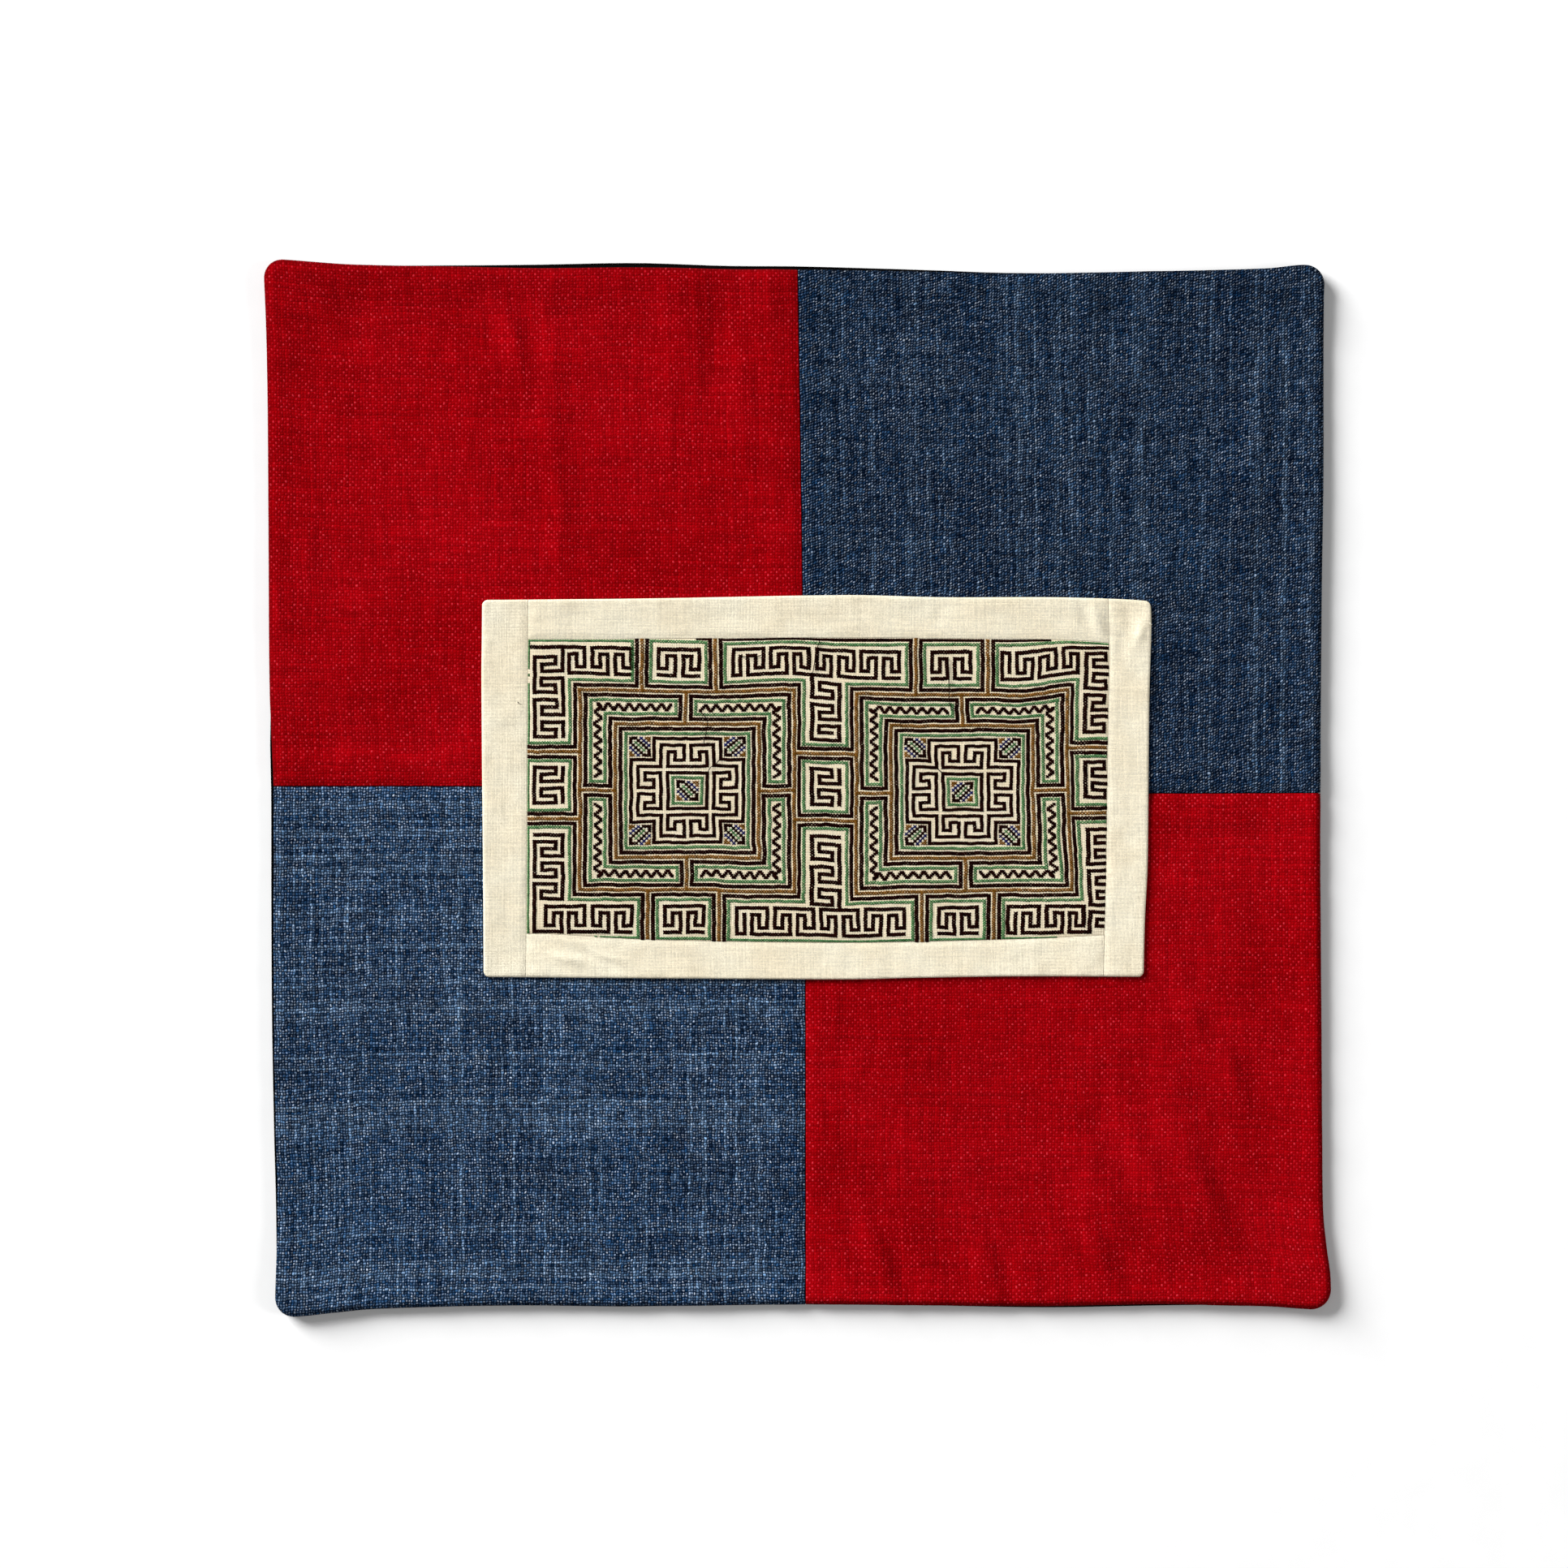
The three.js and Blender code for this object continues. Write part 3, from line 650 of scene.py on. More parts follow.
        gx = counted(u, pitch_x, spot)
        gy = counted(v, pitch_y, turned)
        column = self.math("FLOOR", gx)
        level_yarn = self.math("FLOOR", gy)
        gy = self.plus(gy, self.times(self.scatter(self.pair(column, 0.5, 17.0)), drop))
        row = self.math("FLOOR", gy)
        parity = self.math("FLOORED_MODULO", self.plus(column, row), 2.0)
        other = self.minus(1.0, parity)
        tilt = self.times(self.minus(self.math("FRACT", gy), 0.5), lean)
        leaning = self.minus(self.math("FRACT", gx), tilt, clamp=True)
        across = self.math("SINE", self.times(leaning, math.pi))
        along = self.math("SINE", self.times(self.math("FRACT", gy), math.pi))
        upright = self.times(self.math("POWER", across, 1.5), self.math("POWER", along, 0.8))
        level = self.times(self.math("POWER", across, 0.8), self.math("POWER", along, 1.5))
        steep = self.math("MAXIMUM", other, self.times(lean, 1.4), clamp=True)
        flat = self.minus(1.0, steep)
        height = self.plus(self.times(level, flat), self.times(upright, steep))
        up_place = self.pair(self.times(v, STREAKS_PER_METRE), self.times(column, YARN_STEP))
        level_place = self.pair(self.times(u, STREAKS_PER_METRE), self.times(level_yarn, YARN_STEP), 8.0)
        return {
            "spot": spot,
            "parity": parity,
            "other": other,
            "height": height,
            "streak_up": self.noise(up_place, 1.0, 1.0),
            "streak_level": self.noise(level_place, 1.0, 1.0),
            "yarn_up": self.scatter(self.pair(column, 0.5, 11.0)),
            "yarn_level": self.scatter(self.pair(level_yarn, 0.5, 13.0)),
            "chance": self.scatter(self.pair(column, row, 1.0)),
            "chance2": self.scatter(self.pair(row, column, 5.0)),
        }

    def streaks(self, base, w, low, high):
        """Slow lighter and darker stretches along the yarns of both directions."""
        base = self.tone(base, self.fit(w["streak_up"], 0.3, 0.7, low, high))
        return self.tone(base, self.fit(w["streak_level"], 0.3, 0.7, low, high))

    def finish(self, base, height, depth, strength=1.0):
        """Links the colour and a bump whose full height is depth millimetres."""
        self.feed(self.shader.inputs["Base Color"], base)
        bump = self.add("ShaderNodeBump")
        bump.inputs["Strength"].default_value = strength
        bump.inputs["Distance"].default_value = depth * MM
        self.feed(bump.inputs["Height"], height)
        self.feed(self.shader.inputs["Normal"], bump.outputs[0])
        return self.material


# Painted shade along the front's rim: how far in from the rim it reaches, in mm, and its darkest tone.
PAINTED_RIM_SHADE_WIDTH = 3.2
PAINTED_RIM_SHADE_TONE = 0.5


def red_cloth():
    f = Finish("red_cloth", 0.9, 0.0, 0.01)
    w = f.weave(1.25, 1.27, 0.3, 0.4)
    broad = f.noise(w["spot"], 16.0, 3.0, 0.6)
    base = f.mix(f.fit(broad, 0.3, 0.7), colour(138, 1, 6), colour(154, 3, 11))
    base = f.streaks(base, w, 0.87, 1.12)
    base = f.tone(base, f.spread(w["yarn_up"], 0.95, 1.05))
    base = f.tone(base, f.spread(w["yarn_level"], 0.95, 1.05))
    # Painted shade: the gaps between yarns darkened to deep red at random cells.
    low = f.minus(1.0, f.fit(w["height"], -0.05, 0.5))
    base = f.mix(f.times(low, f.spread(w["chance2"], 0.0, 0.6)), base, colour(104, 0, 1))
    # Painted highlights: the crowns of the upright floats lightened to pink at random, a few of them much
    # lighter.
    crown_highlight = f.times(f.fit(w["height"], 0.2, 1.0), w["other"])
    share = f.spread(w["chance"], 0.1, 0.9)
    base = f.mix(f.times(crown_highlight, share), base, colour(204, 32, 48))
    rare_highlight = f.times(f.fit(w["chance"], 0.84, 1.0, 0.0, 0.18), crown_highlight)
    base = f.mix(rare_highlight, base, colour(240, 96, 112))
    fuzz = f.noise(w["spot"], 1100.0, 2.0)
    # Painted shade along the rim, over the fibre tone.
    base = f.painted_rim_shade(f.tone(base, f.fit(fuzz, 0.3, 0.7, 0.9, 1.1)))
    height = f.plus(w["height"], f.times(fuzz, 0.35))
    return f.finish(base, height, 0.12)


# The lower left patch is cut from a lighter stretch of the blue cloth than the upper right one,
# where the short floats lean.
BLUE_LIGHT_TONE = 1.12
BLUE_DARK_TONE = 0.8
BLUE_LEAN = 0.55
BLUE_LIGHT_DROP = 0.2
BLUE_DARK_DROP = 1.0


def blue_cloth():
    f = Finish("blue_cloth", 0.9, 0.0, 0.01)
    dark_patch = f.fit(f.places()[0], -0.001, 0.001)
    lean = f.spread(dark_patch, 0.0, BLUE_LEAN)
    drop = f.spread(dark_patch, BLUE_LIGHT_DROP, BLUE_DARK_DROP)
    w = f.weave(1.2, 1.2, 0.36, 0.55, lean, drop)
    broad = f.noise(w["spot"], 14.0, 3.0, 0.6)
    up, level = w["other"], w["parity"]
    light_up = f.times(f.math("POWER", w["yarn_up"], 3.0), f.fit(w["streak_up"], 0.35, 0.65, 0.5, 1.3))
    light_level = f.times(f.math("POWER", w["yarn_level"], 3.0), f.spread(dark_patch, 1.0, 0.3))
    own = f.plus(f.times(light_up, up), f.times(light_level, level))
    under = f.plus(f.times(light_up, level), f.times(light_level, up))
    light = f.plus(own, f.times(under, 0.35))
    base = f.mix(f.fit(broad, 0.3, 0.7), colour(15, 44, 75), colour(25, 58, 92))
    base = f.mix(f.times(light, 0.8, clamp=True), base, colour(90, 118, 148))
    base = f.tone(base, f.fit(w["streak_up"], 0.3, 0.7, 0.72, 1.32))
    soft = f.spread(dark_patch, 0.22, 0.26)
    low_tone, high_tone = f.minus(1.0, soft), f.plus(1.0, soft)
    base = f.tone(base, f.fit(w["streak_level"], 0.3, 0.7, low_tone, high_tone))
    base = f.tone(base, f.spread(w["chance2"], 0.46, 1.58))
    # Painted shade: the gaps between yarns darkened to deep navy, over a wider band on the upper right
    # patch.
    low = f.minus(1.0, f.fit(w["height"], -0.1, f.spread(dark_patch, 0.78, 0.96)))
    base = f.mix(f.times(low, 0.95), base, colour(0, 3, 20))
    # Painted highlights: pale blue dots on the float crowns, more of them on the brighter stretches of
    # yarn.
    crown_highlight = f.fit(w["height"], 0.35, 1.0)
    bright_yarn = f.plus(w["streak_up"], w["streak_level"])
    share = f.times(f.math("POWER", w["chance"], 1.5), f.fit(bright_yarn, 0.7, 1.3, 0.35, 1.0))
    highlight_dots = f.times(crown_highlight, f.times(share, f.spread(w["other"], 0.5, 1.0)))
    base = f.mix(highlight_dots, base, colour(198, 208, 222))
    fuzz = f.noise(w["spot"], 1300.0, 2.0)
    base = f.tone(base, f.fit(fuzz, 0.3, 0.7, 0.8, 1.2))
    # Painted shade along the rim, over the two patches' tones.
    base = f.painted_rim_shade(f.tone(base, f.spread(dark_patch, BLUE_LIGHT_TONE, BLUE_DARK_TONE)))
    height = f.plus(w["height"], f.times(fuzz, 0.35))
    return f.finish(base, height, 0.18)


def black_cloth():
    f = Finish("black_cloth", 0.92, 0.06, 0.03)
    w = f.weave(0.55, 0.55, 0.15)
    # The black yarns, with painted shade in the gaps between them and a painted highlight on their
    # crowns.
    base = f.mix(f.fit(w["height"], 0.1, 0.8), colour(6, 5, 5), colour(24, 22, 22))
    base = f.streaks(base, w, 0.85, 1.15)
    return f.finish(base, w["height"], 0.12)


def cream_cotton():
    f = Finish("cream_cotton", 0.86, 0.1, 0.04)
    w = f.weave(0.46, 0.46, 0.12)
    broad = f.noise(w["spot"], 30.0, 3.0, 0.6)
    base = f.mix(f.fit(broad, 0.3, 0.7), colour(253, 240, 210), colour(255, 247, 222))
    base = f.streaks(base, w, 0.93, 1.05)
    base = f.tone(base, f.spread(w["chance2"], 0.89, 1.05))
    # Painted shade in the gaps between the yarns.
    base = f.mix(f.fit(w["height"], -0.1, 0.5), f.tone(base, 0.76), base)
    specks = f.fit(f.noise(w["spot"], 900.0, 1.0), 0.74, 0.8)
    base = f.mix(f.times(specks, 0.4), base, colour(196, 180, 150))
    return f.finish(base, w["height"], 0.1)


def evenweave_ground():
    f = Finish("evenweave_ground", 0.88, 0.1, 0.04)
    w = f.weave(0.74, 0.686, 0.1)
    broad = f.noise(w["spot"], 40.0, 3.0, 0.6)
    base = f.mix(f.fit(broad, 0.3, 0.7), colour(253, 239, 208), colour(255, 246, 221))
    base = f.streaks(base, w, 0.94, 1.04)
    base = f.tone(base, f.spread(w["chance"], 0.92, 1.05))
    # Painted shade in the holes between the ground's threads.
    base = f.mix(f.fit(w["height"], -0.1, 0.5), colour(202, 182, 146), base)
    return f.finish(base, w["height"], 0.16)


def thread(name, dark, light):
    """Stranded embroidery thread: the map holds the place along a stitch and its own number."""
    f = Finish(name, 0.75, 0.015, 0.0)
    along, number = f.places()
    own = f.scatter(f.pair(number, 0.0, 2.0))
    base = f.mix(own, dark, light)
    ply = f.noise(f.pair(f.times(along, 5.0), f.times(number, 900.0)), 1.0, 2.0)
    base = f.tone(base, f.fit(ply, 0.25, 0.75, 0.8, 1.22))
    # Painted shade: each stitch darker towards its ends, where it dips into the ground.
    ends = f.math("ABSOLUTE", f.minus(along, 0.5))
    base = f.tone(base, f.fit(ends, 0.34, 0.5, 1.0, 0.55))
    return f.finish(base, ply, 0.05, 0.6)


finishes = {
    "red_cloth": red_cloth(),
    "blue_cloth": blue_cloth(),
    "black_cloth": black_cloth(),
    "cream_cotton": cream_cotton(),
    "evenweave_ground": evenweave_ground(),
    "thread_black": thread("thread_black", colour(6, 0, 0), colour(34, 8, 4)),
    "thread_green": thread("thread_green", colour(28, 78, 37), colour(92, 142, 90)),
    "thread_brown": thread("thread_brown", colour(74, 46, 8), colour(136, 92, 36)),
    "thread_navy": thread("thread_navy", colour(10, 12, 50), colour(30, 38, 102)),
    "thread_white": thread("thread_white", colour(226, 220, 200), colour(255, 252, 240)),
}


def dress(piece, slot, node=None):
    piece.data.materials.append(finishes[slot])
    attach(piece, "root")
    if node:
        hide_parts(node)
    return piece


# The cloth.


def cloth(node, slot, layout, x_grid, y_grid, lower, upper):
    piece = grid_sheet(node + "_cloth", layout, x_grid, y_grid, lower, upper)
    dress(piece, slot, node)


cloth(
    "back_panel", "black_cloth", back_layout,
    back_grid(COVER_HALF_X), back_grid(COVER_HALF_Y), back_lower, back_upper,
)
for node, slot, side_x, side_y in (
    ("patch_red_upper_left", "red_cloth", -1, 1),
    ("patch_blue_upper_right", "blue_cloth", 1, 1),
    ("patch_blue_lower_left", "blue_cloth", -1, -1),
    ("patch_red_lower_right", "red_cloth", 1, -1),
):
    cloth(
        node, slot, front_layout,
        half_grid(COVER_HALF_X, side_x), half_grid(COVER_HALF_Y, side_y), patch_lower, patch_upper,
    )

STRIP_STEP = 1.2
LONG_STEP = 1.4
PANEL_STEP = 1.6
strip_long = strip_grid(-FRAME_HALF_Y, FRAME_HALF_Y, True, True, LONG_STEP)
strip_wide = strip_grid(-PANEL_HALF_X, PANEL_HALF_X, False, False, PANEL_STEP)
for node, x_grid, y_grid in (
    ("frame_strip_left", strip_grid(-FRAME_HALF_X, -PANEL_HALF_X, True, False, STRIP_STEP), strip_long),
    ("frame_strip_right", strip_grid(PANEL_HALF_X, FRAME_HALF_X, False, True, STRIP_STEP), strip_long),
    ("frame_strip_bottom", strip_wide, strip_grid(-FRAME_HALF_Y, -PANEL_HALF_Y, True, False, STRIP_STEP)),
    ("frame_strip_top", strip_wide, strip_grid(PANEL_HALF_Y, FRAME_HALF_Y, False, True, STRIP_STEP)),
):
    cloth(node, "cream_cotton", applique_layout, x_grid, y_grid, applique_lower, applique_upper)
cloth(
    "embroidered_panel", "evenweave_ground", applique_layout,
    strip_wide, strip_grid(-PANEL_HALF_Y, PANEL_HALF_Y, False, False, PANEL_STEP),
    applique_lower, applique_upper,
)

# The embroidery's chart.
# Charted in counted threads of the ground, across and up from the middle of the left
# medallion. Two equal medallions are 158 threads apart.
MEDALLION_STEP = 158

# Real places of counted threads across, in mm.
ACROSS = [
    (-96, -117.8), (-87, -111.0), (-67, -96.2), (-61, -91.9), (-44, -79.1), (-28, -67.3),
    (0, -46.5), (28, -25.8), (44, -14.1), (61, -1.3), (67, 2.6), (71, 6.1), (75, 9.2),
    (83, 14.6), (87, 17.7), (91, 20.9), (97, 24.9), (130, 49.2), (158, 69.6), (186, 90.4),
    (202, 101.7), (219, 114.2), (225, 118.1), (229, 121.8), (233, 124.7), (241, 130.2), (247, 134.6),
]
THREAD_UP = 0.686
MEDALLION_MIDDLE = -1.1
RIGHT_MEDALLION_DROP = 0.4
# How far the rows bow up above the medallions and down below them, by the place across in mm.
TOP_BOW = [
    (-116, 1.0), (-92, 1.0), (-66, 0.45), (-47, -0.1), (-33, -0.27), (-16, 0.27), (-2, 0.7),
    (9, 0.0), (25, -0.4), (51, -0.95), (80, -1.1), (94, -1.2), (104, -0.1), (114, 1.1), (134, 0.9),
]
BOTTOM_BOW = [
    (-116, -0.15), (-92, 0.0), (-64, 0.0), (-41, 0.1), (-25, 0.65), (-1, 0.9), (25, 1.3),
    (47, 0.55), (71, 0.2), (83, -0.15), (119, -0.3), (134, -0.5),
]
TOP_BOW_SHARE = [(28, 0.0), (41, 0.3), (58, 1.0), (97, 1.0)]
# How far the outermost rows at the top lie above their count.
TOP_OUTER_RISE = [
    (-116, 0.3), (-92, 0.3), (-66, 0.65), (-47, 0.65), (-41, 0.5), (-30, -0.1), (0, -0.35), (50, 0.5),
    (96, 0.7), (104, 0.1), (114, -0.5), (134, -0.7),
]
BOTTOM_BOW_SHARE = [(28, 0.0), (41, 0.4), (61, 1.0), (97, 1.0)]
# How far the right end leans across, by the place up in mm.
RIGHT_LEAN = [
    (-64, 1.5), (-45, 1.8), (-30, 1.2), (-14, 0.5), (4, -0.1), (20, -0.45), (41, 0.0), (60, 0.3),
]


def real_place(gx, gy):
    """Real place, in mm, of a place on the chart, with the unevenness of handwork."""
    x = value_at(ACROSS, gx)
    y = MEDALLION_MIDDLE - RIGHT_MEDALLION_DROP * smooth_step(gx, 70, 90) + THREAD_UP * gy
    up = value_at(TOP_BOW, x) * value_at(TOP_BOW_SHARE, gy)
    up = up + value_at(TOP_OUTER_RISE, x) * smooth_step(gy, 87, 90.5)
    down = -value_at(BOTTOM_BOW, x) * value_at(BOTTOM_BOW_SHARE, -gy)
    y = y + np.where(gy > 0, up, down)
    x = x + value_at(RIGHT_LEAN, y) * smooth_step(gx, 190, 212)
    x = x + 0.16 * unevenness(x, y, 17, 21) + 0.07 * unevenness(x, y, 5, 22)
    y = y + 0.16 * unevenness(x, y, 17, 23) + 0.07 * unevenness(x, y, 5, 24)
    return x, y


STITCH_STEP = 1.5
HALF_ALONG = 1.0
HALF_ACROSS = {"black": 1.33, "green": 1.12, "brown": 1.28}
crosses = {name: [] for name in ("black", "green", "brown", "navy", "white")}


def stitch_row(name, points, closed=False, share=1.0):
    """Crosses along straight runs between chart points, at a share of the thread's own width."""
    points = [*points, points[0]] if closed else points
    for (x0, y0), (x1, y1) in zip(points, points[1:]):
        length = math.hypot(x1 - x0, y1 - y0)
        count = max(round(length / STITCH_STEP), 1)
        upright = abs(y1 - y0) > abs(x1 - x0)
        across = HALF_ACROSS[name] * share
        half_x, half_y = (across, HALF_ALONG) if upright else (HALF_ALONG, across)
        for i in range(count + 1):
            t = i / count
            crosses[name].append((x0 + (x1 - x0) * t, y0 + (y1 - y0) * t, half_x, half_y))


def square(name, middle, half, share=1.0):
    low, high = middle - half, middle + half
    stitch_row(name, [(low, -half), (high, -half), (high, half), (low, half)], closed=True, share=share)


ZIGZAG_REACH = 2.1
ZIGZAG_PERIOD_ACROSS = 6.2
ZIGZAG_PERIOD_UP = 6.7
# Where the crosses lie along each side of the zigzag.
ZIGZAG_SHARES = (0.14, 0.38, 0.62, 0.86)


def zigzag(points, sign):
    """A row that steps from side to side along a path."""
    corners = []
    reach = ZIGZAG_REACH
    for (x0, y0), (x1, y1) in zip(points, points[1:]):
        length = math.hypot(x1 - x0, y1 - y0)
        ax, ay = (x1 - x0) / length, (y1 - y0) / length
        period = ZIGZAG_PERIOD_UP if abs(ay) > abs(ax) else ZIGZAG_PERIOD_ACROSS
        count = max(round(length / (period / 2)), 1)
        for i in range(count + 1):
            s = length * i / count
            corners.append((x0 + ax * s - ay * reach * sign, y0 + ay * s + ax * reach * sign))
            sign = -sign
    for (x0, y0), (x1, y1) in zip(corners, corners[1:]):
        for t in ZIGZAG_SHARES:
            crosses["black"].append((x0 + (x1 - x0) * t, y0 + (y1 - y0) * t, 1.0, 1.0))


CHECKER_HALF = 1.14
CHECKER_WHITE_HALF = 0.3


def checker(middle_x, middle_y, mirrored):
    """A little square of eight by eight crosses: diagonal bands with two brown corners."""
    for row in range(8):
        for column in range(8):
            band = column - row
            turn = column + row
            if abs(band) >= 6:
                name = "brown"
            elif turn <= 2 and (column, row) != (1, 1):
                name = "black"
            elif turn >= 12 and (column, row) != (6, 6):
                name = "black"
            elif band % 2 or (column, row) in ((1, 1), (6, 6)):
                name = "white"
            elif abs(band) == 4:
                name = "navy"
            elif band == 0:
                name = "green"
            else:
                name = "black"
            place = 7 - column if mirrored else column
            x = middle_x + (place - 3.5) * STITCH_STEP
            y = middle_y - (row - 3.5) * STITCH_STEP
            half = CHECKER_WHITE_HALF if name == "white" else CHECKER_HALF
            crosses[name].append((x, y, half, half))


# The key squares are worked with finer lines than the squares around them.
KEY_SHARE = 0.87
RING_SHARE = 1.03


def medallion(middle, spokes, zigzag_signs):
    """Nested squares, the key square in the middle, and the four angle cells around it."""
    def at(x, y):
        return middle + x, y

    mirrored = middle > 0
    checker(middle, 0, mirrored)
    for side_x in (-1, 1):
        for side_y in (-1, 1):
            checker(middle + 27 * side_x, 27 * side_y, side_x * side_y > 0)
    square("green", middle, 8)
    square("black", middle, 11, KEY_SHARE)
    quarter = [(-2, 28), (-2, 19), (-7, 19), (-7, 24), (-11, 24), (-11, 15), (11, 15), (11, 24), (7, 24),
               (7, 19), (2, 19), (2, 28), (15, 28), (15, 15), (28, 15)]
    path = []
    for turn in range(4):
        for x, y in quarter:
            for _ in range(turn):
                x, y = y, -x
            path.append(at(x, y))
    stitch_row("black", path, closed=True, share=KEY_SHARE)
    plus = [(-19, 32), (19, 32), (19, 19), (32, 19), (32, -19), (19, -19), (19, -32), (-19, -32),
            (-19, -19), (-32, -19), (-32, 19), (-19, 19)]
    stitch_row("black", [at(x, y) for x, y in plus], closed=True, share=KEY_SHARE)
    square("green", middle, 35, RING_SHARE)
    square("black", middle, 38, RING_SHARE)
    square("brown", middle, 41)
    square("brown", middle, 61)
    top, bottom, left, right = spokes
    stitch_row("brown", [at(top, 41), at(top, 61)])
    stitch_row("brown", [at(bottom, -41), at(bottom, -61)])
    stitch_row("brown", [at(-41, left), at(-61, left)])
    stitch_row("brown", [at(41, right), at(61, right)])
    for side_x in (-1, 1):
        for side_y in (-1, 1):
            spoke_x = top if side_y > 0 else bottom
            spoke_y = right if side_x > 0 else left
            for name, low, high, beside in (("black", 44, 58, 3), ("green", 47, 55, 5.6)):
                x = spoke_x + side_x * beside
                y = spoke_y + side_y * beside
                cell = [(x, side_y * low), (x, side_y * high), (side_x * high, side_y * high),
                        (side_x * high, y), (side_x * low, y), (side_x * low, side_y * low)]
                stitch_row(name, [at(a, b) for a, b in cell], closed=True, share=RING_SHARE)
            start = (spoke_x + side_x * 8.1, side_y * 51)
            end = (side_x * 51, spoke_y + side_y * 8.1)
            sign = zigzag_signs[side_x, side_y] * side_x * side_y
            zigzag([at(*start), at(side_x * 51, side_y * 51), at(*end)], sign)


# Each zigzag starts beside its upper or lower spoke, outward where its sign is positive.
LEFT_ZIGZAGS = {(-1, 1): 1, (1, 1): -1, (1, -1): 1, (-1, -1): 1}
RIGHT_ZIGZAGS = {(-1, 1): -1, (1, 1): -1, (1, -1): -1, (-1, -1): 1}
medallion(0, (-1.0, -0.4, 0.0, 0.0), LEFT_ZIGZAGS)
medallion(MEDALLION_STEP, (0.0, 2.0, -1.3, 0.9), RIGHT_ZIGZAGS)

# Brown spokes of the outer border, and the cells between them.
TOP_SPOKES = (-25.8, 16.1, 131.0, 172.4)
BOTTOM_SPOKES = (-22.6, 18.2, 134.6, 176.0)
LEFT_SPOKES = (23.9, -17.2)
MIDDLE_SPOKES = (22.9, -18.0)
RIGHT_SPOKES = (27.2, -13.4)
INNER = 61
OUTER = 97
RIGHT_INNER = MEDALLION_STEP + INNER
RIGHT_OUTER = MEDALLION_STEP + 94

for spoke in TOP_SPOKES:
    stitch_row("brown", [(spoke, INNER), (spoke, OUTER)])
for spoke in BOTTOM_SPOKES:
    stitch_row("brown", [(spoke, -INNER), (spoke, -OUTER)])
for up in LEFT_SPOKES:
    stitch_row("brown", [(-INNER, up), (-OUTER, up)])
for up in MIDDLE_SPOKES:
    stitch_row("brown", [(INNER, up), (MEDALLION_STEP - INNER, up)])
for up in RIGHT_SPOKES:
    stitch_row("brown", [(RIGHT_INNER, up), (RIGHT_OUTER, up)])


SQUARE_SIDES_ACROSS = (-OUTER, -INNER, INNER, OUTER, RIGHT_INNER, RIGHT_OUTER)
SQUARE_SIDES_UP = (-OUTER, -INNER, INNER, OUTER)


def on_square(start, end):
    """Whether a side of a cell lies along a square rather than along a spoke."""
    if start[0] == end[0]:
        return start[0] in SQUARE_SIDES_ACROSS
    return start[1] in SQUARE_SIDES_UP


# How far the black and the green line lie inside a cell's sides on a square, and on a spoke.
CELL_LINES = (("black", 3, 3), ("green", 6, 5.4))


def inward_step(start, end, inset, inset_at_spoke):
    """The step into a cell from one of its sides, with the corners named anticlockwise."""
    length = math.dist(start, end)
    depth = inset if on_square(start, end) else inset_at_spoke
    return depth * np.array([(start[1] - end[1]) / length, (end[0] - start[0]) / length])


def cell_outline(corners):
    """The black and the green line round a cell of the border, inside its brown lines."""
    before = [corners[-1], *corners[:-1]]
    after = [*corners[1:], corners[0]]
    for name, *insets in CELL_LINES:
        path = []
        for last, here, following in zip(before, corners, after):
            step = inward_step(last, here, *insets) + inward_step(here, following, *insets)
            path.append((here[0] + step[0], here[1] + step[1]))
        stitch_row(name, path, closed=True)


T1, T2, T3, T4 = TOP_SPOKES
B1, B2, B3, B4 = BOTTOM_SPOKES
L1, L2 = LEFT_SPOKES
M1, M2 = MIDDLE_SPOKES
R1, R2 = RIGHT_SPOKES
BORDER_CELLS = (
    [(T1, INNER), (T2, INNER), (T2, OUTER), (T1, OUTER)],
    [(T3, INNER), (T4, INNER), (T4, OUTER), (T3, OUTER)],
    [(B1, -OUTER), (B2, -OUTER), (B2, -INNER), (B1, -INNER)],
    [(B3, -OUTER), (B4, -OUTER), (B4, -INNER), (B3, -INNER)],
    [(-OUTER, L2), (-INNER, L2), (-INNER, L1), (-OUTER, L1)],
    [(INNER, M2), (OUTER, M2), (OUTER, M1), (INNER, M1)],
    [(RIGHT_INNER, R2), (RIGHT_OUTER, R2), (RIGHT_OUTER, R1), (RIGHT_INNER, R1)],
    [(-OUTER, L1), (-INNER, L1), (-INNER, INNER), (T1, INNER), (T1, OUTER), (-OUTER, OUTER)],
    [(-OUTER, -OUTER), (B1, -OUTER), (B1, -INNER), (-INNER, -INNER), (-INNER, L2), (-OUTER, L2)],
    [
        (T2, INNER), (INNER, INNER), (INNER, M1), (OUTER, M1),
        (OUTER, INNER), (T3, INNER), (T3, OUTER), (T2, OUTER),
    ],
    [
        (B2, -OUTER), (B3, -OUTER), (B3, -INNER), (OUTER, -INNER),
        (OUTER, M2), (INNER, M2), (INNER, -INNER), (B2, -INNER),
    ],
    [
        (T4, INNER), (RIGHT_INNER, INNER), (RIGHT_INNER, R1),
        (RIGHT_OUTER, R1), (RIGHT_OUTER, OUTER), (T4, OUTER),
    ],
    [
        (B4, -OUTER), (RIGHT_OUTER, -OUTER), (RIGHT_OUTER, R2),
        (RIGHT_INNER, R2), (RIGHT_INNER, -INNER), (B4, -INNER),
    ],
)
for corners in BORDER_CELLS:
    cell_outline(corners)

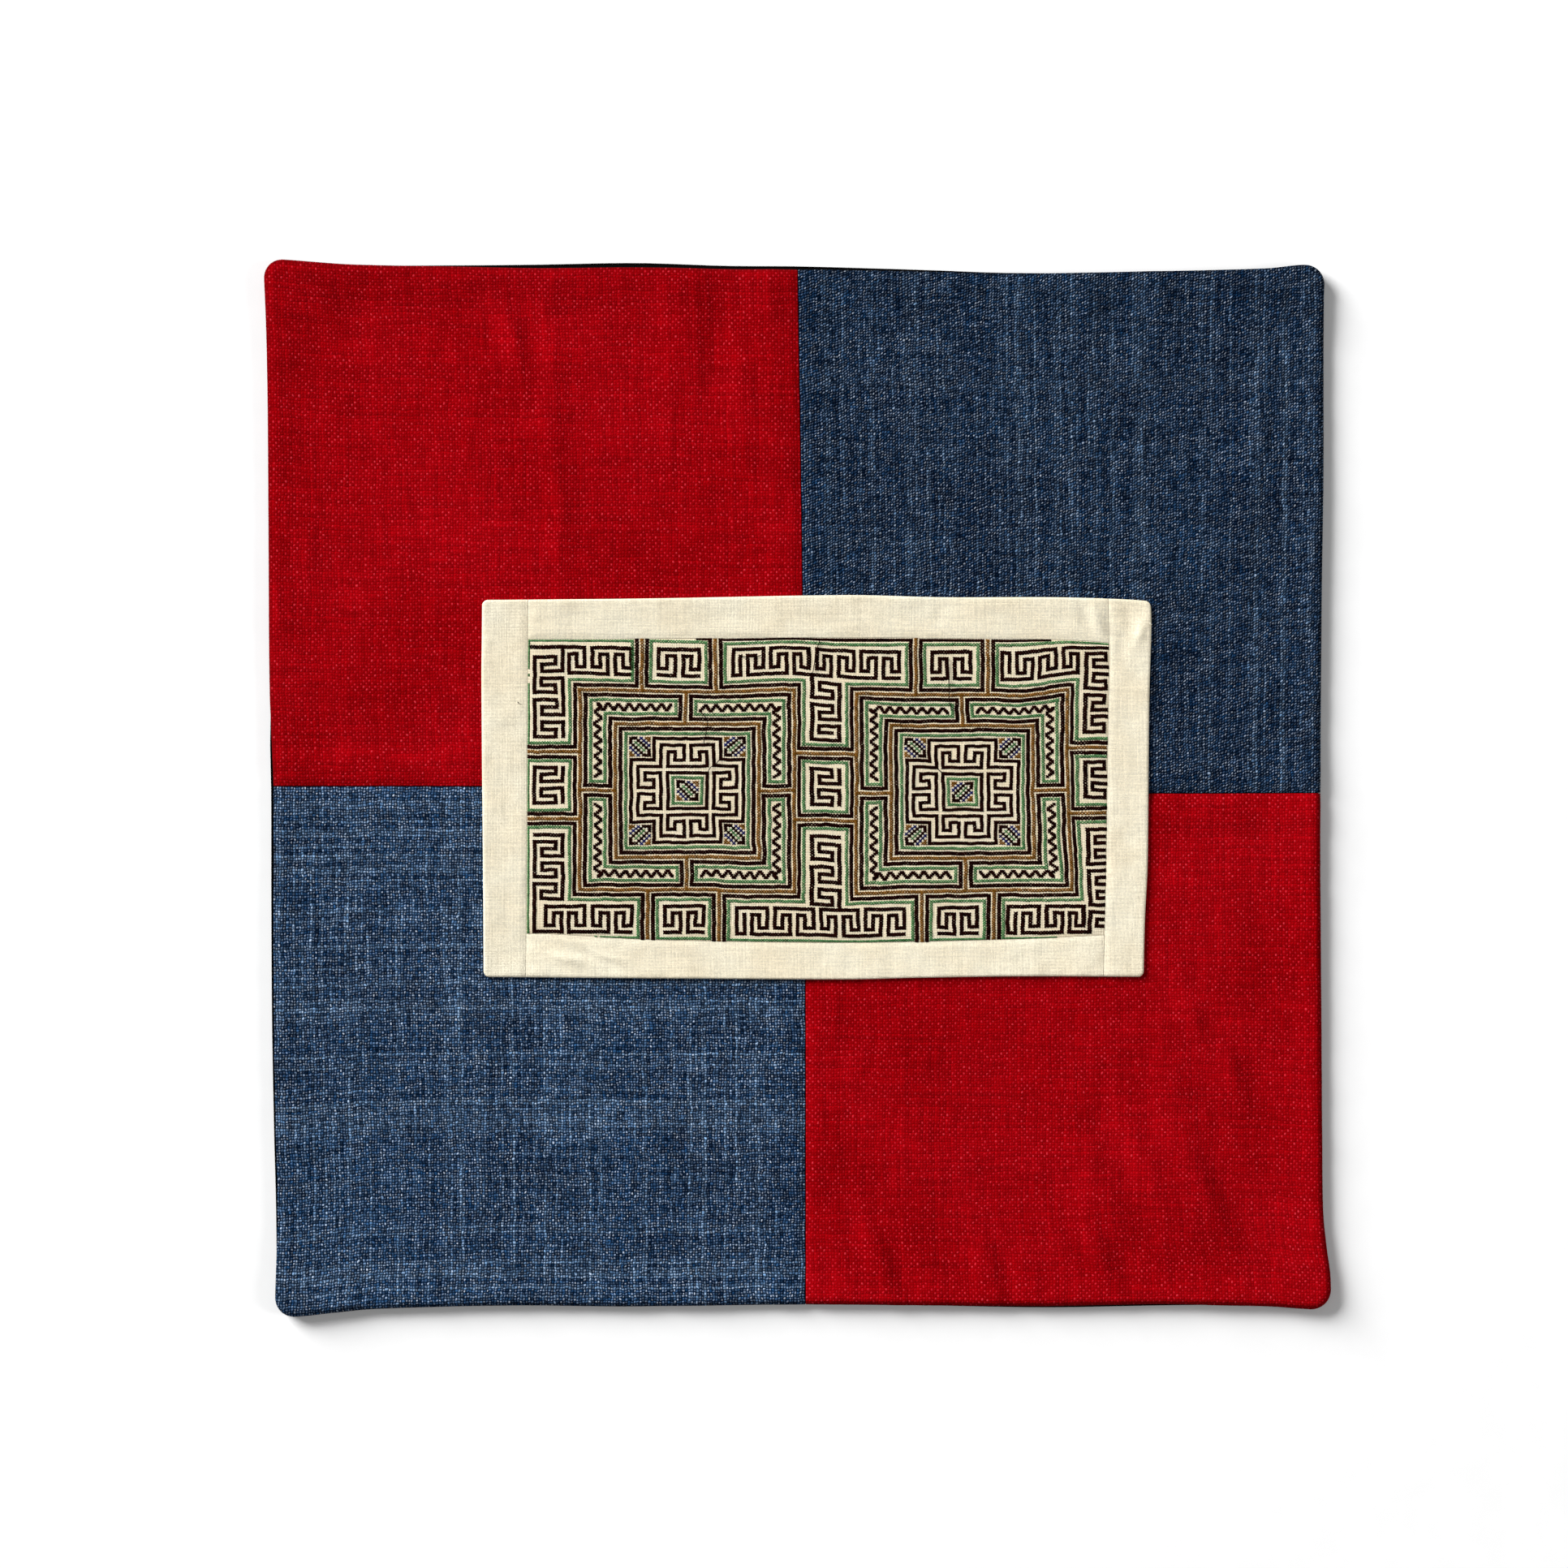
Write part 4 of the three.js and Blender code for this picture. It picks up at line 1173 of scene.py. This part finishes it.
# Key lines of the border. A run is a list of (place, level): the place counts steps along the
# run and the level is 0, 1, 3 or 4 across it.
TOP_LEVELS = {0: 87, 1: 83, 3: 75, 4: 71}
BOTTOM_LEVELS = {0: -71, 1: -75, 3: -83, 4: -87}
LEFT_LEVELS = {0: -87, 1: -83, 3: -75, 4: -71}
MIDDLE_LEVELS = {0: 71, 1: 75, 3: 83, 4: 87}
RIGHT_LEVELS = {0: 229, 1: 233, 3: 240.5, 4: 245}
SMALL_CELL = [(0, 4), (2, 4), (2, 1), (1, 1), (1, 3), (0, 3), (0, 0), (5, 0), (5, 3), (4, 3), (4, 1),
              (3, 1), (3, 4), (5, 4)]


def turns(place, level, count):
    """The repeating run of the key pattern, from a place on its low or its high level."""
    run = []
    for _ in range(count):
        near, far = (1, 3) if level == 0 else (3, 1)
        run += [(place, level), (place + 5, level), (place + 5, far), (place + 4, far),
                (place + 4, near), (place + 3, near)]
        place += 3
        level = 4 - level
    return run


def key_row(run, start, pitch, levels, head=(), tail=()):
    stitch_row("black", [*head, *((start + pitch * a, levels[b]) for a, b in run), *tail])


def key_column(run, start, pitch, levels, head=(), tail=()):
    stitch_row("black", [*head, *((levels[b], start - pitch * a) for a, b in run), *tail])


# Small cells, by their middle and the pitch of their steps.
for place, pitch, levels in (
    (-4.8, 4.6, TOP_LEVELS), (151.7, 4.4, TOP_LEVELS),
    (-1.9, 4.46, BOTTOM_LEVELS), (155.5, 4.42, BOTTOM_LEVELS),
):
    key_row(SMALL_CELL, place - 2.5 * pitch, pitch, levels)
for place, pitch, levels in (
    (3.35, 4.34, LEFT_LEVELS), (2.5, 4.39, MIDDLE_LEVELS), (7.4, 4.33, RIGHT_LEVELS),
):
    key_column(SMALL_CELL, place + 2.5 * pitch, pitch, levels)

# Runs that several cells share.
HOOK = [(2, 4), (2, 1), (1, 1), (1, 3), (0, 3)]
LOW_HOOK = [(2, 0), (2, 3), (1, 3), (1, 1), (0, 1)]
ARM = [*HOOK, *turns(0, 0, 3), (9, 4), (11, 4)]
MIDDLE_ROW = [
    (-4, 1), (-4, 4), (-5, 4), (-5, 0), (-1, 0), (-1, 3), (-2, 3), (-2, 1), (-3, 1), (-3, 4),
    *HOOK, *turns(0, 0, 5), (15, 4), (17, 4),
]
# Upper left angle.
key_row([*LOW_HOOK, *turns(0, 4, 2), (6, 4), (8, 4)], -67.3, 4.41, TOP_LEVELS, head=[(-89.6, 87)])
key_column(ARM, 80.9, 4.355, LEFT_LEVELS, head=[(-71, 87)])
# Lower left angle.
key_column(
    [(5, 0), (5, 4), (8, 4), (8, 1), (7, 1), (7, 3), (6, 3), *turns(6, 0, 2), (12, 0)],
    -5.6, 4.34, LEFT_LEVELS, tail=[(-87, -87)],
)
key_row(ARM, -80.6, 4.43, BOTTOM_LEVELS, head=[(-87, -87)])
# Upper middle.
key_row(MIDDLE_ROW, 47.8, 4.32, TOP_LEVELS)
key_column(
    [
        (5, 0), (5, 3), (4, 3), (4, 1), (3, 1), *turns(3, 4, 1),
        (6, 0), (11, 0), (11, 4), (9, 4), (9, 1), (10, 1), (10, 3),
    ],
    79.4, 4.36, MIDDLE_LEVELS, head=[(71, 71)],
)
# Lower middle.
key_column(
    [(2, 4), (2, 0), (5, 0), (5, 3), (4, 3), (4, 1), (3, 1), *turns(3, 4, 2), (9, 4)],
    -19.4, 4.42, MIDDLE_LEVELS, tail=[(87, -71)],
)
key_row(MIDDLE_ROW, 50.0, 4.37, BOTTOM_LEVELS)
# Upper right angle.
key_row(
    [(-1, 3), (-1, 0), (-2, 0), (-2, 4), *HOOK, *turns(0, 0, 2), (6, 0)],
    189.4, 4.45, TOP_LEVELS, tail=[(246, 87)],
)
key_column(ARM, 83.4, 4.25, RIGHT_LEVELS)
# Lower right angle.
key_column([*HOOK, *turns(0, 0, 4), (12, 0)], -23.2, 4.29, RIGHT_LEVELS, tail=[(229, -87)])
key_row(
    [(-1, 1), (-1, 4), (-2, 4), (-2, 0), *LOW_HOOK, *turns(0, 4, 2), (6, 4)],
    192.4, 4.2, BOTTOM_LEVELS, tail=[(229, -87)],
)

# Stitches as real thread, in mm.

STRAND_HALF = 0.29
BLACK_STRAND_HALF = 0.37
STRAND_HEIGHT = 0.14
# How deep a strand is below its middle, as a share of its height.
STRAND_BELLY = 0.6
STRAND_LIFT = 0.08
SECOND_STRAND_LIFT = 0.07
TIP_DEPTH = 0.04
LEAST_STRAND = 0.25
EDGE_MARGIN = 0.05
# Crosses this far past the panel's edge still show their near half.
HIDDEN_REACH_SIDES = 0.3
HIDDEN_REACH_ENDS = 0.75
HAND_STRAY = 0.27


def held_on_panel(x, y):
    """Points pulled back to the panel's visible face, and which lay on it."""
    left_edge = value_at(LEFT_STRIP_SEAM, y) + PIECE_GAP / 2 + EDGE_MARGIN
    right_edge = value_at(RIGHT_STRIP_SEAM, y) - PIECE_GAP / 2 - EDGE_MARGIN
    u = on_panel(x, y)["u"]
    top_edge = value_at(PANEL_TOP, u) - PIECE_GAP / 2 - EDGE_MARGIN
    bottom_edge = value_at(PANEL_BOTTOM, u) + PIECE_GAP / 2 + EDGE_MARGIN
    past_sides = np.maximum(left_edge - x, x - right_edge)
    past_ends = np.maximum(bottom_edge - y, y - top_edge)
    inside = (past_sides < HIDDEN_REACH_SIDES) & (past_ends < HIDDEN_REACH_ENDS)
    return np.clip(x, left_edge, right_edge), np.clip(y, bottom_edge, top_edge), inside


def panel_height(x, y):
    return applique_upper(on_panel(x, y))


# The area of the bake map of thread, in mm.
THREAD_MAP_CORNER = np.array([118, 68])
THREAD_MAP_SPAN = np.array([252, 134])


def panel_map(points):
    """Bake map of thread: its place seen from above."""
    return BAKE_MARGIN + BAKE_SPAN * (points[:, :2] + THREAD_MAP_CORNER) / THREAD_MAP_SPAN


def strands(starts, ends, half_width, raised, numbers):
    """Closed strands of thread, pointed at both ends and arched over the cloth."""
    way = ends - starts
    length = np.linalg.norm(way, axis=1)
    way = way / length[:, None]
    side = np.stack([-way[:, 1], way[:, 0]], axis=-1)
    rings = []
    for t in (0.2, 0.8):
        middle = starts + (ends - starts) * t
        z = panel_height(middle[:, 0], middle[:, 1]) + STRAND_LIFT + raised
        ring = [
            np.column_stack([middle + side * half_width[:, None], z]),
            np.column_stack([middle, z + STRAND_HEIGHT]),
            np.column_stack([middle - side * half_width[:, None], z]),
            np.column_stack([middle, z - STRAND_HEIGHT * STRAND_BELLY]),
        ]
        rings.append(np.stack(ring, axis=1))
    tips = []
    for end in (starts, ends):
        z = panel_height(end[:, 0], end[:, 1]) - TIP_DEPTH
        tips.append(np.column_stack([end, z])[:, None, :])
    points = np.concatenate([tips[0], rings[0], rings[1], tips[1]], axis=1)
    count = len(points)
    faces = []
    for k in range(4):
        n = (k + 1) % 4
        faces.append((3, [0, 1 + n, 1 + k]))
        faces.append((4, [1 + k, 1 + n, 5 + n, 5 + k]))
        faces.append((3, [9, 5 + k, 5 + n]))
    pattern = np.concatenate([corners for _, corners in faces])
    sizes = np.tile([size for size, _ in faces], count)
    loops = (np.arange(count)[:, None] * 10 + pattern[None, :]).ravel()
    place = np.array([0, 0.2, 0.2, 0.2, 0.2, 0.8, 0.8, 0.8, 0.8, 1.0])
    uv = np.stack([np.tile(place, count), np.repeat(numbers, 10)], axis=-1)
    return points.reshape(-1, 3), sizes, loops, uv


def astray(gx, gy, seed):
    """How far a stitch strays from its chart, as the rows of hand embroidery do."""
    edge = np.minimum(OUTER - np.abs(gy), np.minimum(gx + OUTER, RIGHT_OUTER - gx))
    free = smooth_step(edge, 0, 12)
    return HAND_STRAY * free * (unevenness(gx, gy, 9, seed) + unevenness(gx, gy, 3.5, seed + 1))


def thread_piece(name, slot, rows, half_width, seed, extra=()):
    """One mesh of crosses, each of two strands, with any loose threads of the same colour."""
    rows = np.array(rows, dtype=float)
    rng = np.random.default_rng(seed)
    gx, gy, half_x, half_y = rows.T
    jitter = rng.normal(0, 0.05, (len(rows), 2))
    gx, gy = gx + astray(gx, gy, 41) + jitter[:, 0], gy + astray(gx, gy, 43) + jitter[:, 1]
    _, _, inside = held_on_panel(*real_place(gx, gy))
    gx, gy, half_x, half_y = gx[inside], gy[inside], half_x[inside], half_y[inside]
    parts = []
    for order, sign in enumerate((1, -1)):
        x0, y0 = real_place(gx - half_x, gy - sign * half_y)
        x1, y1 = real_place(gx + half_x, gy + sign * half_y)
        x0, y0, _ = held_on_panel(x0, y0)
        x1, y1, _ = held_on_panel(x1, y1)
        starts = np.stack([x0, y0], axis=-1)
        ends = np.stack([x1, y1], axis=-1)
        whole = np.linalg.norm(ends - starts, axis=1) > LEAST_STRAND
        starts, ends = starts[whole], ends[whole]
        width = half_width * rng.uniform(0.85, 1.12, len(starts))
        raised = SECOND_STRAND_LIFT * order + rng.uniform(-0.02, 0.02, len(starts))
        numbers = rng.uniform(0, 1, len(starts))
        parts.append(strands(starts, ends, width, raised, numbers))
    parts += extra
    bases = np.cumsum([0, *(len(part[0]) for part in parts[:-1])])
    points = np.concatenate([part[0] for part in parts])
    sizes = np.concatenate([part[1] for part in parts])
    loops = np.concatenate([part[2] + base for part, base in zip(parts, bases)])
    uv = np.concatenate([part[3] for part in parts])
    piece = build_mesh(name, points, sizes, loops, uv[loops], panel_map(points)[loops])
    return dress(piece, slot)


LOOSE_RADIUS = 0.17
LOOSE_SIDES = 6
LOOSE_POINTS = 22


def loose_thread(points, number):
    """A loose end of thread that lies over the embroidery."""
    knots = np.array(points, dtype=float)
    steps = np.concatenate([[0], np.cumsum(np.linalg.norm(np.diff(knots, axis=0), axis=1))])
    even = np.linspace(0, steps[-1], LOOSE_POINTS)
    path = np.stack([value_at(np.column_stack([steps, knots[:, k]]), even) for k in (0, 1)], axis=-1)
    lift = 0.75 + 0.25 * np.sin(even * 0.9 + number * 5)
    lift[0] = lift[-1] = 0.3
    z = applique_upper(on_panel(path[:, 0], path[:, 1])) + lift
    centre = np.column_stack([path, z])
    way = np.gradient(centre, axis=0)
    way /= np.linalg.norm(way, axis=1)[:, None]
    side = np.cross(way, [0, 0, 1.0])
    side /= np.linalg.norm(side, axis=1)[:, None]
    up = np.cross(side, way)
    sides = LOOSE_SIDES
    rings = []
    for k in range(sides):
        angle = 2 * math.pi * k / sides
        rings.append(centre + LOOSE_RADIUS * (side * math.cos(angle) + up * math.sin(angle)))
    rings = np.stack(rings, axis=1)
    count = len(centre)
    points = np.concatenate([rings.reshape(-1, 3), centre[:1], centre[-1:]])
    loops = []
    sizes = []
    for i in range(count - 1):
        for k in range(sides):
            n = (k + 1) % sides
            loops += [i * sides + k, (i + 1) * sides + k, (i + 1) * sides + n, i * sides + n]
            sizes.append(4)
    for k in range(sides):
        n = (k + 1) % sides
        loops += [count * sides, k, n]
        loops += [count * sides + 1, (count - 1) * sides + n, (count - 1) * sides + k]
        sizes += [3, 3]
    along = np.full(len(points), 0.5)
    uv = np.stack([along, np.full(len(points), number)], axis=-1)
    return points, np.array(sizes), np.array(loops), uv


LOOSE_THREADS = [
    [(-41.7, 32.6), (-40.2, 31.4), (-38.4, 29.0), (-38.2, 25.5), (-39.6, 18.9)],
    [(63.6, 54.9), (63.9, 47.0), (64.0, 40.5), (64.1, 37.0), (65.0, 32.9)],
    [(-32.8, 12.3), (-34.1, 10.6), (-36.5, 8.9), (-37.9, 6.9)],
    [(34.1, 62.2), (34.7, 63.0), (35.8, 63.0), (36.9, 62.4)],
    [(9.4, 62.2), (7.9, 57.6), (7.2, 53.0), (6.3, 47.7)],
    [(58.7, 8.4), (59.8, 7.6), (60.9, 6.5)],
    [(-25.0, 56.1), (-22.0, 55.4), (-18.0, 55.3), (-15.2, 56.1)],
    [(-118.1, 36.3), (-117.9, 36.0), (-117.6, 35.8)],
]
# The end of the cream sewing thread stands out at the frame's upper right corner.
SEWING_END = [(148.7, 69.6), (149.6, 69.0), (150.2, 69.1)]
loose = [loose_thread(points, 0.1 + 0.1 * i) for i, points in enumerate(LOOSE_THREADS)]
sewing_end = [loose_thread(SEWING_END, 0.9)]

MEDALLION_REACH = 60
black = np.array(crosses["black"])
near_middle = np.abs(black[:, 1]) < MEDALLION_REACH
inner_left = (np.abs(black[:, 0]) < MEDALLION_REACH) & near_middle
inner_right = (np.abs(black[:, 0] - MEDALLION_STEP) < MEDALLION_REACH) & near_middle
border = ~(inner_left | inner_right)
threads = [
    thread_piece("stitches_black_left", "thread_black", black[inner_left], BLACK_STRAND_HALF, 31),
    thread_piece("stitches_black_right", "thread_black", black[inner_right], BLACK_STRAND_HALF, 32),
    thread_piece("stitches_black_border", "thread_black", black[border], BLACK_STRAND_HALF, 33, loose),
    thread_piece("stitches_green", "thread_green", crosses["green"], STRAND_HALF * 0.86, 34),
    thread_piece("stitches_brown", "thread_brown", crosses["brown"], STRAND_HALF, 35),
    thread_piece("stitches_navy", "thread_navy", crosses["navy"], STRAND_HALF, 36),
    thread_piece("stitches_white", "thread_white", crosses["white"], STRAND_HALF * 0.95, 37, sewing_end),
]

# Floor, light and camera.


FLOOR_HALF = 8.0
FLOOR_HEIGHT = -0.0002


def white_floor():
    mesh = bpy.data.meshes.new("floor")
    corners = ((-1, -1), (1, -1), (1, 1), (-1, 1))
    places = [(x * FLOOR_HALF, y * FLOOR_HALF, FLOOR_HEIGHT) for x, y in corners]
    mesh.from_pydata(places, [], [(0, 1, 2, 3)])
    floor = bpy.data.objects.new("floor", mesh)
    bpy.context.scene.collection.objects.link(floor)
    f = Finish("floor_paper", 0.9, 0.1, 0.0)
    place = f.add("ShaderNodeTexCoord")
    grain = f.noise(place.outputs["Object"], 60.0, 3.0)
    base = f.mix(f.fit(grain, 0.3, 0.7), colour(248, 248, 248), colour(250, 250, 250))
    f.finish(base, grain, 0.02, 0.2)
    mesh.materials.append(f.material)


def area_light(name, place, size, power):
    """A square light that shines at the middle of the cover."""
    data = bpy.data.lights.new(name, "AREA")
    data.shape = "SQUARE"
    data.size = size
    data.energy = power
    light = bpy.data.objects.new(name, data)
    light.location = place
    way = -np.array(place)
    yaw = math.atan2(way[1], way[0])
    tilt = math.atan2(math.hypot(way[0], way[1]), -way[2])
    light.rotation_euler = (0, -tilt, yaw)
    bpy.context.scene.collection.objects.link(light)


# Lights, in metres and watts.
KEY_PLACE = (-7.2, 5.6, 4.1)
KEY_SIZE = 5.4
KEY_POWER = 2180
FILL_PLACE = (5.5, -0.6, 2.9)
FILL_SIZE = 2.0
FILL_POWER = 123
WORLD_STRENGTH = 0.15
# Camera.
CAMERA_X = -0.0057
CAMERA_Y = 0.0017
VIEW_WIDTH = 0.6627
LENS = 100
SENSOR = 36
COVER_TOP = 0.004


def camera():
    data = bpy.data.cameras.new("camera")
    data.lens = LENS
    data.sensor_width = SENSOR
    data.clip_end = 20
    eye = bpy.data.objects.new("camera", data)
    eye.location = (CAMERA_X, CAMERA_Y, COVER_TOP + VIEW_WIDTH * LENS / SENSOR)
    bpy.context.scene.collection.objects.link(eye)
    bpy.context.scene.camera = eye


white_floor()
area_light("key", KEY_PLACE, KEY_SIZE, KEY_POWER)
area_light("fill", FILL_PLACE, FILL_SIZE, FILL_POWER)
world = bpy.data.worlds.new("studio")
world.use_nodes = True
background = next(n for n in world.node_tree.nodes if n.type == "BACKGROUND")
background.inputs["Color"].default_value = (1, 1, 1, 1)
background.inputs["Strength"].default_value = WORLD_STRENGTH
bpy.context.scene.world = world
bpy.context.scene.view_settings.view_transform = "Standard"
bpy.context.scene.view_settings.look = "None"
camera()
